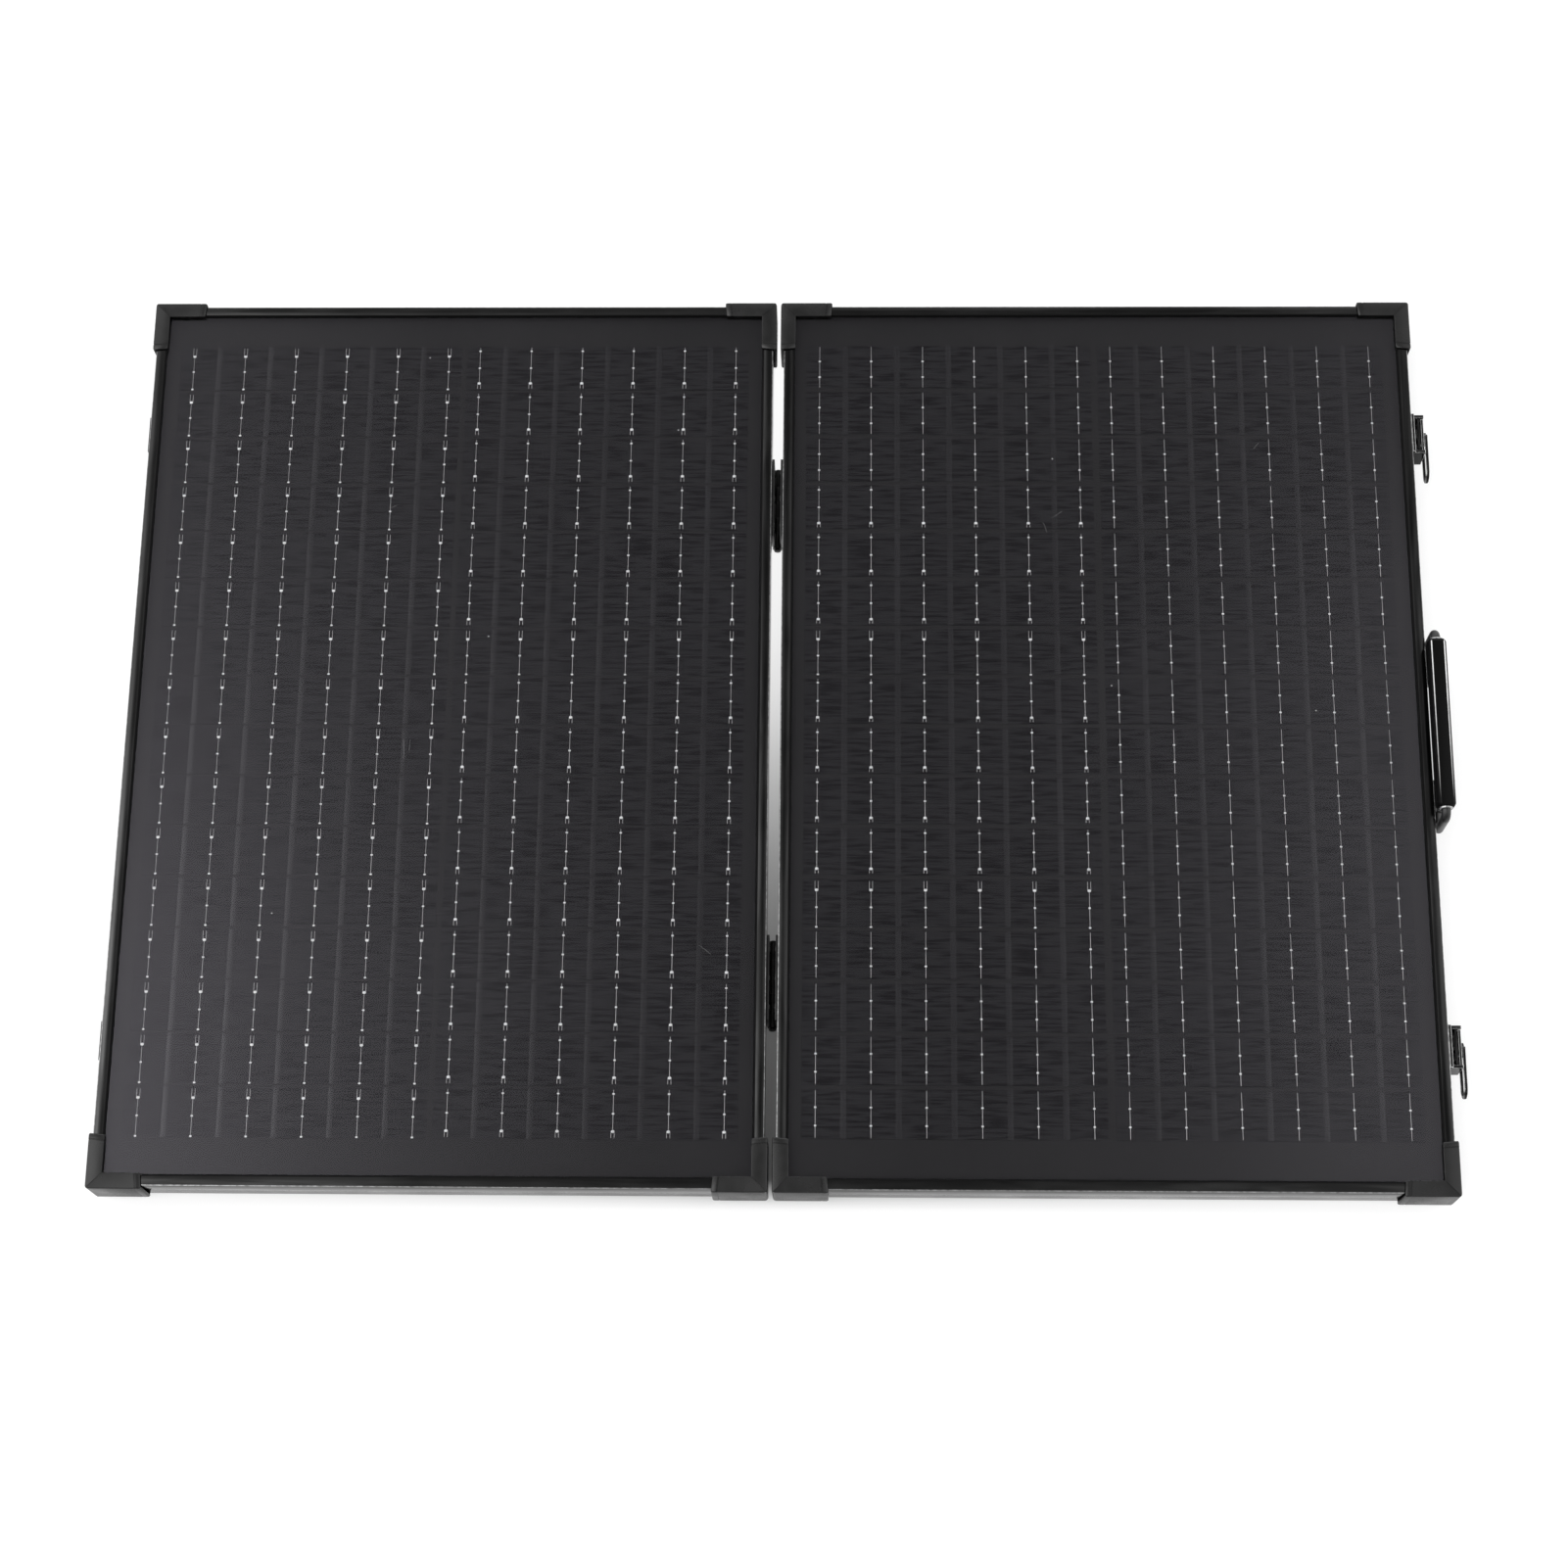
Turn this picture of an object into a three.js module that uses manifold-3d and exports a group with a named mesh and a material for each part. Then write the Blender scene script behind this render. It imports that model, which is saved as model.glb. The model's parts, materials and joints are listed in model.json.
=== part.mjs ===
// Folding solar suitcase kit: two framed panels that hinge together back to back.
// Millimetres, +Z up. The panels lie open and flat, cells up, resting on the feet at z = 0.
// +X runs across the two panels to the handle side, +Y away from the user. The origin is
// the middle of the whole kit's footprint.
import * as THREE from 'three';
import { mergeVertices } from 'three/addons/utils/BufferGeometryUtils.js';
import Module from 'manifold-3d';

const wasm = await Module();
wasm.setup();

// ---- driving dimensions ----
const PANEL_WIDTH = 399;
const PANEL_LENGTH = 575;
const FRAME_DEPTH = 25;
const PANEL_GAP = 7; // between the facing sides of the two frames
const FOOT_HEIGHT = 8; // from the floor to the frame's underside
const FIT = 0.1; // gap between pieces that are fixed together
const FACETS = 24;
const OVERRUN = 1; // how far a cutting shape runs past what it cuts

// frame section
const WALL = 1.8;
const LIP_WIDTH = 6.3;
const LIP_THICKNESS = 1.5;
const SHELF_WIDTH = 8;
const SHELF_THICKNESS = 1.5;
const FLANGE_WIDTH = 14;
const MITRE_GAP = 0.15;

// laminate
const GLASS_THICKNESS = 3.2;
const CELL_LAYER_THICKNESS = 1;
const BACKSHEET_THICKNESS = 0.5;
const LAMINATE_EDGE = WALL + 0.4;

// corner caps
const CAP_PROUD = 2.2;
const CAP_PLATE = 1.3;
const CAP_ARM = 31;
const CAP_ARM_WIDTH = 7.4;
const CAP_CHAMFER = 1.2;
const FOOT_ALONG_ARM = 20;
const FOOT_INSET = 3.4;
const FOOT_RADIUS = 3;
const FOOT_ROOT_RADIUS = 3.6;

// fold hinges
const FOLD_CLEARANCE = 0.3; // left between a foot and the cap that it lands on
const HINGE_Y = 157;
const HINGE_LENGTH = 53;
const LEAF_THICKNESS = 1.5;
const LEAF_TOP = 17;
const KNUCKLES = 5;
const KNUCKLE_GAP = 0.2;
const KNUCKLE_RADIUS = 3.1;
const KNUCKLE_CLEARANCE = 0.8; // between a leaf and the other leaf's knuckles
const KNUCKLE_WEB = 2;
const HINGE_PIN_RADIUS = 1.5;
const HINGE_PIN_HEAD_RADIUS = 2.3;
const HINGE_PIN_HEAD = 1.2;
const HINGE_PIN_PLAY = 0.2;
const RUNNING_CLEARANCE = 0.08;

// latches and keepers
const LATCH_Y = 199;
const LATCH_WIDTH = 26;
const HOOK_STROKE = 8.5;
const KEEPER_WIDTH = 24;
const KEEPER_PROUD = 3.7;
const KEEPER_PLATE = 1.4;
const KEEPER_LIP = 1.6;
const KEEPER_FOOT = 2.8;
const KEEPER_TOP = 21;

// carrying handle
const BAIL_RADIUS = 2.9;
const BAIL_HALF_WIDTH = 59.5;
const BAIL_BEND = 5;
const BAIL_REACH = 30;
const LUG_RADIUS = 4.7;
const LUG_OUT = 4.8;
const LUG_UP = 4.5;
const LUG_START = 37;
const LUG_LENGTH = 11;
const LUG_WEB_INSET = 1;
const LUG_PLATE = [0.5, 21]; // its height on the frame's side
const LUG_PLATE_THICKNESS = 1.1;
const LUG_PLATE_PAST = 5; // how far it runs past the lug at both ends
const GRIP_SIZE = 12;
const GRIP_CORNER = 3.5;
const GRIP_LENGTH = 108;

// kickstands
const LEG_RADIUS = 5;
const LEG_BEND = 25;
const LEG_LENGTH = 330;
const LEG_PIVOT_Y = 75;
const LEG_PIVOT_UP = 8;
const LEG_EYE_RADIUS = 6.5;
const LEG_EYE_WIDTH = 9.4;
const EYE_PLAY = 0.4;
const SLEEVE_LENGTH = 120;
const SLEEVE_WALL = 2;
const SLEEVE_FIT = 0.15;
const BRACKET_THICKNESS = 2;
const BRACKET_LENGTH = 26;
const BRACKET_ABOVE_PIVOT = 6;
const BRACKET_EDGE = 3; // from its foot's outer edge to the frame's side
const STUD_RADIUS = 3;
const STUD_HEAD_RADIUS = 5;
const STUD_HEAD = 3;
const STUD_PLAY = 0.8;

// junction box and charge controller
const BOX_SIZE = [90, 55, 13];
const BOX_Y = 225;
const BOX_WALL = 2;
const LID_THICKNESS = 2;
const LID_SPIGOT = 1.5;
const LID_PLAY = 0.3;
const GLAND_RADIUS = 5;
const GLAND_BORE_RADIUS = 3;
const GLAND_LENGTH = 12;
const GLAND_SPREAD = 26;
const CONTROLLER_SIZE = [110, 74, 14];
const CONTROLLER_Y = 140;
const COVER_THICKNESS = 1.6;
const DISPLAY_SIZE = [44, 22];
const DISPLAY_SET_BACK = 0.4;
const DISPLAY_PLAY = 0.2;
const BUTTON_RADIUS = 4;
const BUTTON_SPACING = 16;
const BUTTON_PROUD = 0.9;
const BEHIND_COVER = 3; // how deep the display and the buttons reach
const TERMINAL_SIZE = [72, 11, 12];
const TERMINALS = 6;
const TERMINAL_PITCH = 11;
const TERMINAL_BORE_RADIUS = 2.2;
const TERMINAL_BORE_DEPTH = 7;
const TERMINAL_BORE_UP = 5;

// ---- derived places, measured from the frame's underside ----
const MIDDLE = PANEL_WIDTH / 2;
const HALF_LENGTH = PANEL_LENGTH / 2;
const MID_DEPTH = FRAME_DEPTH / 2;
const GLASS_TOP = FRAME_DEPTH - LIP_THICKNESS - FIT;
const CELLS_TOP = GLASS_TOP - GLASS_THICKNESS - FIT;
const BACKSHEET_TOP = CELLS_TOP - CELL_LAYER_THICKNESS - FIT;
const BACKSHEET_UNDER = BACKSHEET_TOP - BACKSHEET_THICKNESS;
const SHELF_TOP = BACKSHEET_UNDER - FIT;
const FOLD_Z = -(FOOT_HEIGHT + CAP_PLATE + FIT + FOLD_CLEARANCE) / 2;
const LEFT_REACH = PANEL_GAP / 2 + PANEL_WIDTH + KEEPER_PROUD;
const RIGHT_REACH = PANEL_GAP / 2 + PANEL_WIDTH + LUG_OUT + GRIP_SIZE / 2;
const FOLD_X = (LEFT_REACH - RIGHT_REACH) / 2;

// ---- materials ----
function finish(color, roughness, metalness) {
  return new THREE.MeshStandardMaterial({ color, roughness, metalness });
}

const MATERIALS = {
  anodised: finish(0x1c1d1f, 0.4, 0.8),
  capPlastic: finish(0x2a2a2b, 0.75, 0),
  glass: finish(0x16171c, 0.15, 0),
  cells: finish(0x0d0e14, 0.4, 0.1),
  backsheet: finish(0x202022, 0.8, 0),
  boxPlastic: finish(0x18181a, 0.6, 0),
  blackSteel: finish(0x131314, 0.35, 0.7),
  latchSteel: finish(0x1b1b1c, 0.2, 0.9),
  gripPlastic: finish(0x161617, 0.3, 0),
  rubber: finish(0x101010, 0.9, 0),
  display: finish(0x6b7a5e, 0.2, 0),
  terminals: finish(0x2f4a34, 0.6, 0),
};

// ---- solids ----
function solidOf(geometry) {
  const bare = geometry.clone();
  bare.deleteAttribute('normal');
  bare.deleteAttribute('uv');
  const welded = mergeVertices(bare, 1e-4);
  const vertProperties = Float32Array.from(welded.attributes.position.array);
  const triVerts = Uint32Array.from(welded.index.array);
  return new wasm.Manifold(new wasm.Mesh({ numProp: 3, vertProperties, triVerts }));
}

function geometryOf(solid) {
  const mesh = solid.getMesh();
  const geometry = new THREE.BufferGeometry();
  geometry.setAttribute('position', new THREE.BufferAttribute(mesh.vertProperties, 3));
  geometry.setIndex(new THREE.BufferAttribute(mesh.triVerts, 1));
  geometry.computeVertexNormals();
  return geometry;
}

function join(...geometries) {
  return geometryOf(geometries.map(solidOf).reduce((sum, next) => sum.add(next)));
}

function cut(geometry, ...tools) {
  return geometryOf(tools.map(solidOf).reduce((rest, tool) => rest.subtract(tool), solidOf(geometry)));
}

function block([x0, x1], [y0, y1], [z0, z1]) {
  const geometry = new THREE.BoxGeometry(x1 - x0, y1 - y0, z1 - z0);
  return geometry.translate((x0 + x1) / 2, (y0 + y1) / 2, (z0 + z1) / 2);
}

// The span with the margin taken off each end.
function inset([start, end], margin) {
  return [start + margin, end - margin];
}

function around(middle, length) {
  return [middle - length / 2, middle + length / 2];
}

// A round bar along one axis, from start to end, about the two other coordinates of its centre.
function bar(axis, radius, [start, end], [a, b], endRadius = radius) {
  const geometry = new THREE.CylinderGeometry(endRadius, radius, end - start, FACETS);
  const middle = (start + end) / 2;
  if (axis === 'x') {
    return geometry.rotateZ(-Math.PI / 2).translate(middle, a, b);
  }
  if (axis === 'y') {
    return geometry.translate(a, middle, b);
  }
  return geometry.rotateX(Math.PI / 2).translate(a, b, middle);
}

function outline(points) {
  return new THREE.Shape(points.map(([x, y]) => new THREE.Vector2(x, y)));
}

function extruded(shape, depth) {
  return new THREE.ExtrudeGeometry(shape, { depth, bevelEnabled: false, curveSegments: 6 });
}

// The same solid seen in a mirror across x = 0, with its faces still pointing out.
function mirrored(geometry) {
  const copy = mergeVertices(geometry.clone().scale(-1, 1, 1));
  const order = copy.index.array;
  for (let i = 0; i < order.length; i += 3) {
    [order[i], order[i + 1]] = [order[i + 1], order[i]];
  }
  copy.computeVertexNormals();
  return copy;
}

// A round rod bent through the points, with arcs of the bend radius at each corner.
function bentRod(points, bend, radius, sides, stepsPerBend) {
  const stations = [points[0]];
  for (let i = 1; i < points.length - 1; i += 1) {
    const corner = points[i];
    const back = points[i - 1].clone().sub(corner).normalize();
    const ahead = points[i + 1].clone().sub(corner).normalize();
    const centre = back.clone().add(ahead).multiplyScalar(bend).add(corner);
    for (let s = 0; s <= stepsPerBend; s += 1) {
      const turn = (s / stepsPerBend) * (Math.PI / 2);
      const arm = ahead.clone().multiplyScalar(-Math.cos(turn));
      arm.add(back.clone().multiplyScalar(-Math.sin(turn)));
      stations.push(centre.clone().add(arm.multiplyScalar(bend)));
    }
  }
  stations.push(points[points.length - 1]);
  return sweptRod(stations, radius, sides);
}

// Rings of vertices at each station, each ring in the plane that halves the bend there.
function sweptRod(stations, radius, sides) {
  const legs = stations.slice(1).map((point, i) => point.clone().sub(stations[i]).normalize());
  const normal = new THREE.Vector3();
  for (let i = 1; i < legs.length && normal.length() < 0.01; i += 1) {
    normal.crossVectors(legs[0], legs[i]);
  }
  normal.normalize();
  const vertices = [];
  stations.forEach((point, i) => {
    const before = legs[Math.max(i - 1, 0)];
    const after = legs[Math.min(i, legs.length - 1)];
    const along = before.clone().add(after).normalize();
    const stretch = 1 / along.dot(before);
    const side = new THREE.Vector3().crossVectors(along, normal).multiplyScalar(stretch);
    for (let s = 0; s < sides; s += 1) {
      const angle = (2 * Math.PI * (s + 0.5)) / sides;
      const ring = side.clone().multiplyScalar(Math.cos(angle) * radius);
      vertices.push(point.clone().add(ring).addScaledVector(normal, Math.sin(angle) * radius));
    }
  });
  const faces = [];
  for (let i = 0; i < stations.length - 1; i += 1) {
    for (let s = 0; s < sides; s += 1) {
      const next = (s + 1) % sides;
      const [a, b] = [i * sides + s, i * sides + next];
      faces.push(a, a + sides, b, b, a + sides, b + sides);
    }
  }
  const last = (stations.length - 1) * sides;
  for (let s = 1; s < sides - 1; s += 1) {
    faces.push(0, s, s + 1, last, last + s + 1, last + s);
  }
  const geometry = new THREE.BufferGeometry().setFromPoints(vertices);
  geometry.setIndex(faces);
  geometry.computeVertexNormals();
  return geometry;
}

// ---- one frame rail: its outer face on x = 0, its inside towards +x, mitred ends ----
function rail(length) {
  const shelfUnder = SHELF_TOP - SHELF_THICKNESS;
  const lipUnder = FRAME_DEPTH - LIP_THICKNESS;
  const section = outline([
    [0, 0], [FLANGE_WIDTH, 0], [FLANGE_WIDTH, WALL], [WALL, WALL],
    [WALL, shelfUnder], [SHELF_WIDTH, shelfUnder], [SHELF_WIDTH, SHELF_TOP], [WALL, SHELF_TOP],
    [WALL, lipUnder], [LIP_WIDTH, lipUnder], [LIP_WIDTH, FRAME_DEPTH], [0, FRAME_DEPTH],
  ]);
  const geometry = extruded(section, length).rotateX(Math.PI / 2);
  const position = geometry.attributes.position;
  for (let i = 0; i < position.count; i += 1) {
    const end = length / 2 - MITRE_GAP - position.getX(i);
    position.setY(i, position.getY(i) < -length / 2 ? -end : end);
  }
  return geometry;
}

// ---- corner cap for the near inner corner: the frame fills x > 0, y > 0 ----
function cornerCap(footOnXArm) {
  const edge = -CAP_PROUD;
  const tip = CAP_ARM - CAP_CHAMFER;
  const shoulder = CAP_ARM_WIDTH - CAP_CHAMFER;
  const shape = outline([
    [edge + CAP_CHAMFER, edge], [CAP_ARM, edge], [CAP_ARM, shoulder], [tip, CAP_ARM_WIDTH],
    [CAP_ARM_WIDTH, CAP_ARM_WIDTH], [CAP_ARM_WIDTH, tip], [shoulder, CAP_ARM],
    [edge, CAP_ARM], [edge, edge + CAP_CHAMFER],
  ]);
  const under = -FIT - CAP_PLATE;
  const shell = extruded(shape, FRAME_DEPTH - 2 * under).translate(0, 0, under);
  const beyond = 2 * CAP_ARM;
  const frameSpace = block([-FIT, beyond], [-FIT, beyond], [-FIT, FRAME_DEPTH + FIT]);
  const [footX, footY] = footOnXArm ? [FOOT_ALONG_ARM, FOOT_INSET] : [FOOT_INSET, FOOT_ALONG_ARM];
  const footSpan = [-FOOT_HEIGHT, under + CAP_PLATE / 2];
  const foot = bar('z', FOOT_RADIUS, footSpan, [footX, footY], FOOT_ROOT_RADIUS);
  return join(cut(shell, frameSpace), foot);
}

function laminateSheet(margin, top, thickness) {
  const across = inset([0, PANEL_WIDTH], margin);
  const along = inset([-HALF_LENGTH, HALF_LENGTH], margin);
  return block(across, along, [top - thickness, top]);
}

// ---- junction box on the backsheet, its open side facing down ----
const BOX_ACROSS = around(MIDDLE, BOX_SIZE[0]);
const BOX_ALONG = around(BOX_Y, BOX_SIZE[1]);

function junctionBox() {
  const depth = BOX_SIZE[2];
  const top = BACKSHEET_UNDER - FIT;
  const front = BOX_ALONG[0];
  const tray = block(BOX_ACROSS, BOX_ALONG, [top - depth, top]);
  const hollow = block(
    inset(BOX_ACROSS, BOX_WALL),
    inset(BOX_ALONG, BOX_WALL),
    [top - depth - OVERRUN, top - BOX_WALL],
  );
  const glands = [];
  const bores = [];
  for (const side of [-1, 1]) {
    const centre = [MIDDLE + side * GLAND_SPREAD, top - depth / 2];
    const start = front - GLAND_LENGTH;
    glands.push(bar('y', GLAND_RADIUS, [start, front + BOX_WALL / 2], centre));
    bores.push(bar('y', GLAND_BORE_RADIUS, [start - OVERRUN, front + 2 * BOX_WALL], centre));
  }
  return cut(join(tray, ...glands), hollow, ...bores);
}

function junctionBoxLid() {
  const rim = BACKSHEET_UNDER - 2 * FIT - BOX_SIZE[2];
  const plate = block(BOX_ACROSS, BOX_ALONG, [rim - LID_THICKNESS, rim]);
  const spigot = block(
    inset(BOX_ACROSS, BOX_WALL + LID_PLAY),
    inset(BOX_ALONG, BOX_WALL + LID_PLAY),
    [rim - LID_THICKNESS / 2, rim + LID_SPIGOT],
  );
  return join(plate, spigot);
}

// ---- kickstand: a U of tube that lies in the recess, its eyes on the bracket studs ----
const BRACKET_INNER = MIDDLE - FLANGE_WIDTH - 3 * FIT - BRACKET_THICKNESS;
const EYE_MIDDLE = BRACKET_INNER - EYE_PLAY - LEG_EYE_WIDTH / 2;
const CROSSBAR_Y = LEG_PIVOT_Y - LEG_LENGTH;

function kickstand() {
  const corners = [
    [-EYE_MIDDLE, LEG_PIVOT_Y], [-EYE_MIDDLE, CROSSBAR_Y],
    [EYE_MIDDLE, CROSSBAR_Y], [EYE_MIDDLE, LEG_PIVOT_Y],
  ];
  const route = corners.map(([x, y]) => new THREE.Vector3(MIDDLE + x, y, LEG_PIVOT_UP));
  const pivot = [LEG_PIVOT_Y, LEG_PIVOT_UP];
  const eyes = [];
  const bores = [];
  for (const side of [-1, 1]) {
    const span = around(MIDDLE + side * EYE_MIDDLE, LEG_EYE_WIDTH);
    eyes.push(bar('x', LEG_EYE_RADIUS, span, pivot));
    bores.push(bar('x', STUD_RADIUS + RUNNING_CLEARANCE, inset(span, -OVERRUN), pivot));
  }
  return cut(join(bentRod(route, LEG_BEND, LEG_RADIUS, 16, 6), ...eyes), ...bores);
}

function kickstandSleeve() {
  const centre = [CROSSBAR_Y, LEG_PIVOT_UP];
  const span = around(MIDDLE, SLEEVE_LENGTH);
  const sleeve = bar('x', LEG_RADIUS + SLEEVE_WALL, span, centre);
  return cut(sleeve, bar('x', LEG_RADIUS + SLEEVE_FIT, inset(span, -OVERRUN), centre));
}

// side is -1 at the panel's inner rail, +1 at its outer rail
function kickstandBracket(side) {
  const pivot = [LEG_PIVOT_Y, LEG_PIVOT_UP];
  const span = around(LEG_PIVOT_Y, BRACKET_LENGTH);
  const under = -FIT - BRACKET_THICKNESS;
  const across = [BRACKET_INNER, BRACKET_INNER + BRACKET_THICKNESS];
  const upright = block(across, span, [under, LEG_PIVOT_UP + BRACKET_ABOVE_PIVOT]);
  const foot = block([BRACKET_INNER, MIDDLE - BRACKET_EDGE], span, [under, -FIT]);
  const headStart = EYE_MIDDLE - LEG_EYE_WIDTH / 2 - STUD_PLAY;
  const stud = bar('x', STUD_RADIUS, [headStart - STUD_HEAD / 2, BRACKET_INNER + 1], pivot);
  const head = bar('x', STUD_HEAD_RADIUS, [headStart - STUD_HEAD, headStart], pivot);
  const bracket = join(upright, foot, stud, head);
  return (side > 0 ? bracket : mirrored(bracket)).translate(MIDDLE, 0, 0);
}

// ---- fold hinge, about the fold axis at x = 0; the leaf stands at +x ----
function hingeLeaf(firstKnuckle) {
  const face = PANEL_GAP / 2 - FIT;
  const across = [face - LEAF_THICKNESS, face];
  const neck = FOLD_Z + KNUCKLE_RADIUS + KNUCKLE_CLEARANCE;
  const whole = around(0, HINGE_LENGTH);
  const pieces = [block(across, whole, [neck, LEAF_TOP])];
  const pitch = HINGE_LENGTH / KNUCKLES;
  for (let k = firstKnuckle; k < KNUCKLES; k += 2) {
    const span = around(whole[0] + (k + 0.5) * pitch, pitch - KNUCKLE_GAP);
    pieces.push(bar('y', KNUCKLE_RADIUS, span, [0, FOLD_Z]));
    pieces.push(block(across, span, [FOLD_Z, neck + KNUCKLE_CLEARANCE]));
    pieces.push(block([0, face], span, around(FOLD_Z, KNUCKLE_WEB)));
  }
  const boreRadius = HINGE_PIN_RADIUS + RUNNING_CLEARANCE;
  const bore = bar('y', boreRadius, inset(whole, -OVERRUN), [0, FOLD_Z]);
  return cut(join(...pieces), bore);
}

function hingePin() {
  const shank = around(0, HINGE_LENGTH + HINGE_PIN_HEAD);
  const headStart = HINGE_LENGTH / 2 + HINGE_PIN_PLAY;
  const head = [headStart, headStart + HINGE_PIN_HEAD];
  const otherHead = [-head[1], -head[0]];
  return join(
    bar('y', HINGE_PIN_RADIUS, shank, [0, FOLD_Z]),
    bar('y', HINGE_PIN_HEAD_RADIUS, head, [0, FOLD_Z]),
    bar('y', HINGE_PIN_HEAD_RADIUS, otherHead, [0, FOLD_Z]),
  );
}

// ---- twist latch, about its turning axis; x = 0 is the frame's side ----
// Spans named here run along x, outwards from the frame.
const LATCH = {
  plate: [FIT, 1.9],
  plateMargin: 0.5,
  cheekThickness: 2,
  cheekHeight: 19,
  hook: [4.2, 5.6],
  hookMargin: 2.5,
  hookAbove: 9,
  hookBelow: 7.45,
  hookLip: [2.3, 5],
  hookLipThickness: 1.7,
  slotWidth: 13.6,
  slotHeight: 5.2,
  crank: [5.8, 6.6],
  crankRadius: 6,
  crankPinRadius: 1.5,
  crankPinEnd: 3.9,
  bridge: [6.8, 8.4],
  bridgeHeight: 13.8,
  boss: [8.6, 10.4],
  stemRadius: 3,
  bossRadius: 4.5,
  wingHinge: 9.8,
  stubRadius: 0.5,
  stubPast: 0.4,
  wing: [8.9, 10.7],
  wingHeel: 0.9,
  wingReach: 23,
  wingInner: 5,
  wingOuter: 6.6,
};
const HOOK_TIP = -MID_DEPTH - LATCH.hookBelow;
const LATCH_ACROSS = around(0, LATCH_WIDTH);

function latchBase() {
  const [start, end] = LATCH_ACROSS;
  const { plate, cheekThickness, bridge, crank } = LATCH;
  const pieces = [
    block(plate, LATCH_ACROSS, inset([-MID_DEPTH, MID_DEPTH], LATCH.plateMargin)),
    block(bridge, LATCH_ACROSS, around(0, LATCH.bridgeHeight)),
  ];
  for (const span of [[start, start + cheekThickness], [end - cheekThickness, end]]) {
    pieces.push(block([plate[0], bridge[1]], span, around(0, LATCH.cheekHeight)));
  }
  const hole = bar('x', LATCH.stemRadius + RUNNING_CLEARANCE, [crank[0], bridge[1] + OVERRUN], [0, 0]);
  return cut(join(...pieces), hole);
}

function latchHook() {
  const { hook, hookLip, hookLipThickness } = LATCH;
  const across = inset(LATCH_ACROSS, LATCH.hookMargin);
  const strap = block(hook, across, [HOOK_TIP, LATCH.hookAbove]);
  const lip = block(hookLip, across, [HOOK_TIP, HOOK_TIP + hookLipThickness]);
  const slot = block(
    inset(hook, -OVERRUN),
    around(0, LATCH.slotWidth),
    around(HOOK_STROKE / 2, LATCH.slotHeight),
  );
  return cut(join(strap, lip), slot);
}

function latchCam() {
  const { boss, crank, stubPast, wingOuter } = LATCH;
  const overlap = (crank[1] - crank[0]) / 2;
  return join(
    bar('x', LATCH.bossRadius, boss, [0, 0]),
    bar('x', LATCH.stemRadius, [crank[0], boss[0] + overlap], [0, 0]),
    bar('x', LATCH.crankRadius, crank, [0, 0]),
    bar('x', LATCH.crankPinRadius, [LATCH.crankPinEnd, crank[0] + overlap], [0, HOOK_STROKE / 2]),
    bar('z', LATCH.stubRadius, around(0, 2 * (wingOuter + stubPast)), [LATCH.wingHinge, 0]),
  );
}

function latchWing() {
  const { wingHeel, wingReach, wingInner, wingOuter, wing } = LATCH;
  const ring = new THREE.Shape();
  ring.moveTo(wingHeel, -wingOuter);
  ring.lineTo(wingHeel, -wingInner);
  ring.lineTo(-wingReach, -wingInner);
  ring.absarc(-wingReach, 0, wingInner, -Math.PI / 2, Math.PI / 2, true);
  ring.lineTo(wingHeel, wingInner);
  ring.lineTo(wingHeel, wingOuter);
  ring.lineTo(-wingReach, wingOuter);
  ring.absarc(-wingReach, 0, wingOuter, Math.PI / 2, (3 * Math.PI) / 2, false);
  const upright = new THREE.Matrix4().makeBasis(
    new THREE.Vector3(0, 1, 0),
    new THREE.Vector3(0, 0, 1),
    new THREE.Vector3(1, 0, 0),
  );
  const loop = extruded(ring, wing[1] - wing[0]).applyMatrix4(upright).translate(wing[0], 0, 0);
  const boreRadius = LATCH.stubRadius + RUNNING_CLEARANCE;
  const bore = bar('z', boreRadius, around(0, 4 * wingOuter), [LATCH.wingHinge, 0]);
  return cut(loop, bore);
}

function keeper() {
  const across = around(0, KEEPER_WIDTH);
  const foot = KEEPER_FOOT - MID_DEPTH;
  const plate = block([FIT, FIT + KEEPER_PLATE], across, [foot, KEEPER_TOP - MID_DEPTH]);
  const lip = block([KEEPER_PLATE / 2, KEEPER_PROUD], across, [foot, foot + KEEPER_LIP]);
  return join(plate, lip);
}

// ---- carrying handle, about its pivot axis; x = 0 is that axis ----
function handleBail() {
  const half = BAIL_HALF_WIDTH;
  const route = [
    [-LUG_START + 2, 0], [-half, 0], [-half, BAIL_REACH],
    [half, BAIL_REACH], [half, 0], [LUG_START - 2, 0],
  ].map(([y, z]) => new THREE.Vector3(0, y, z));
  return bentRod(route, BAIL_BEND, BAIL_RADIUS, 20, 4);
}

function handleGrip() {
  const half = GRIP_SIZE / 2;
  const corner = GRIP_CORNER;
  const section = new THREE.Shape();
  section.absarc(half - corner, half - corner, corner, 0, Math.PI / 2);
  section.absarc(corner - half, half - corner, corner, Math.PI / 2, Math.PI);
  section.absarc(corner - half, corner - half, corner, Math.PI, 1.5 * Math.PI);
  section.absarc(half - corner, corner - half, corner, 1.5 * Math.PI, 2 * Math.PI);
  const sleeve = extruded(section, GRIP_LENGTH).rotateX(Math.PI / 2);
  sleeve.translate(0, GRIP_LENGTH / 2, BAIL_REACH);
  const bore = bar('y', BAIL_RADIUS + FIT, around(0, 2 * GRIP_LENGTH), [0, BAIL_REACH]);
  return cut(sleeve, bore);
}

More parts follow.
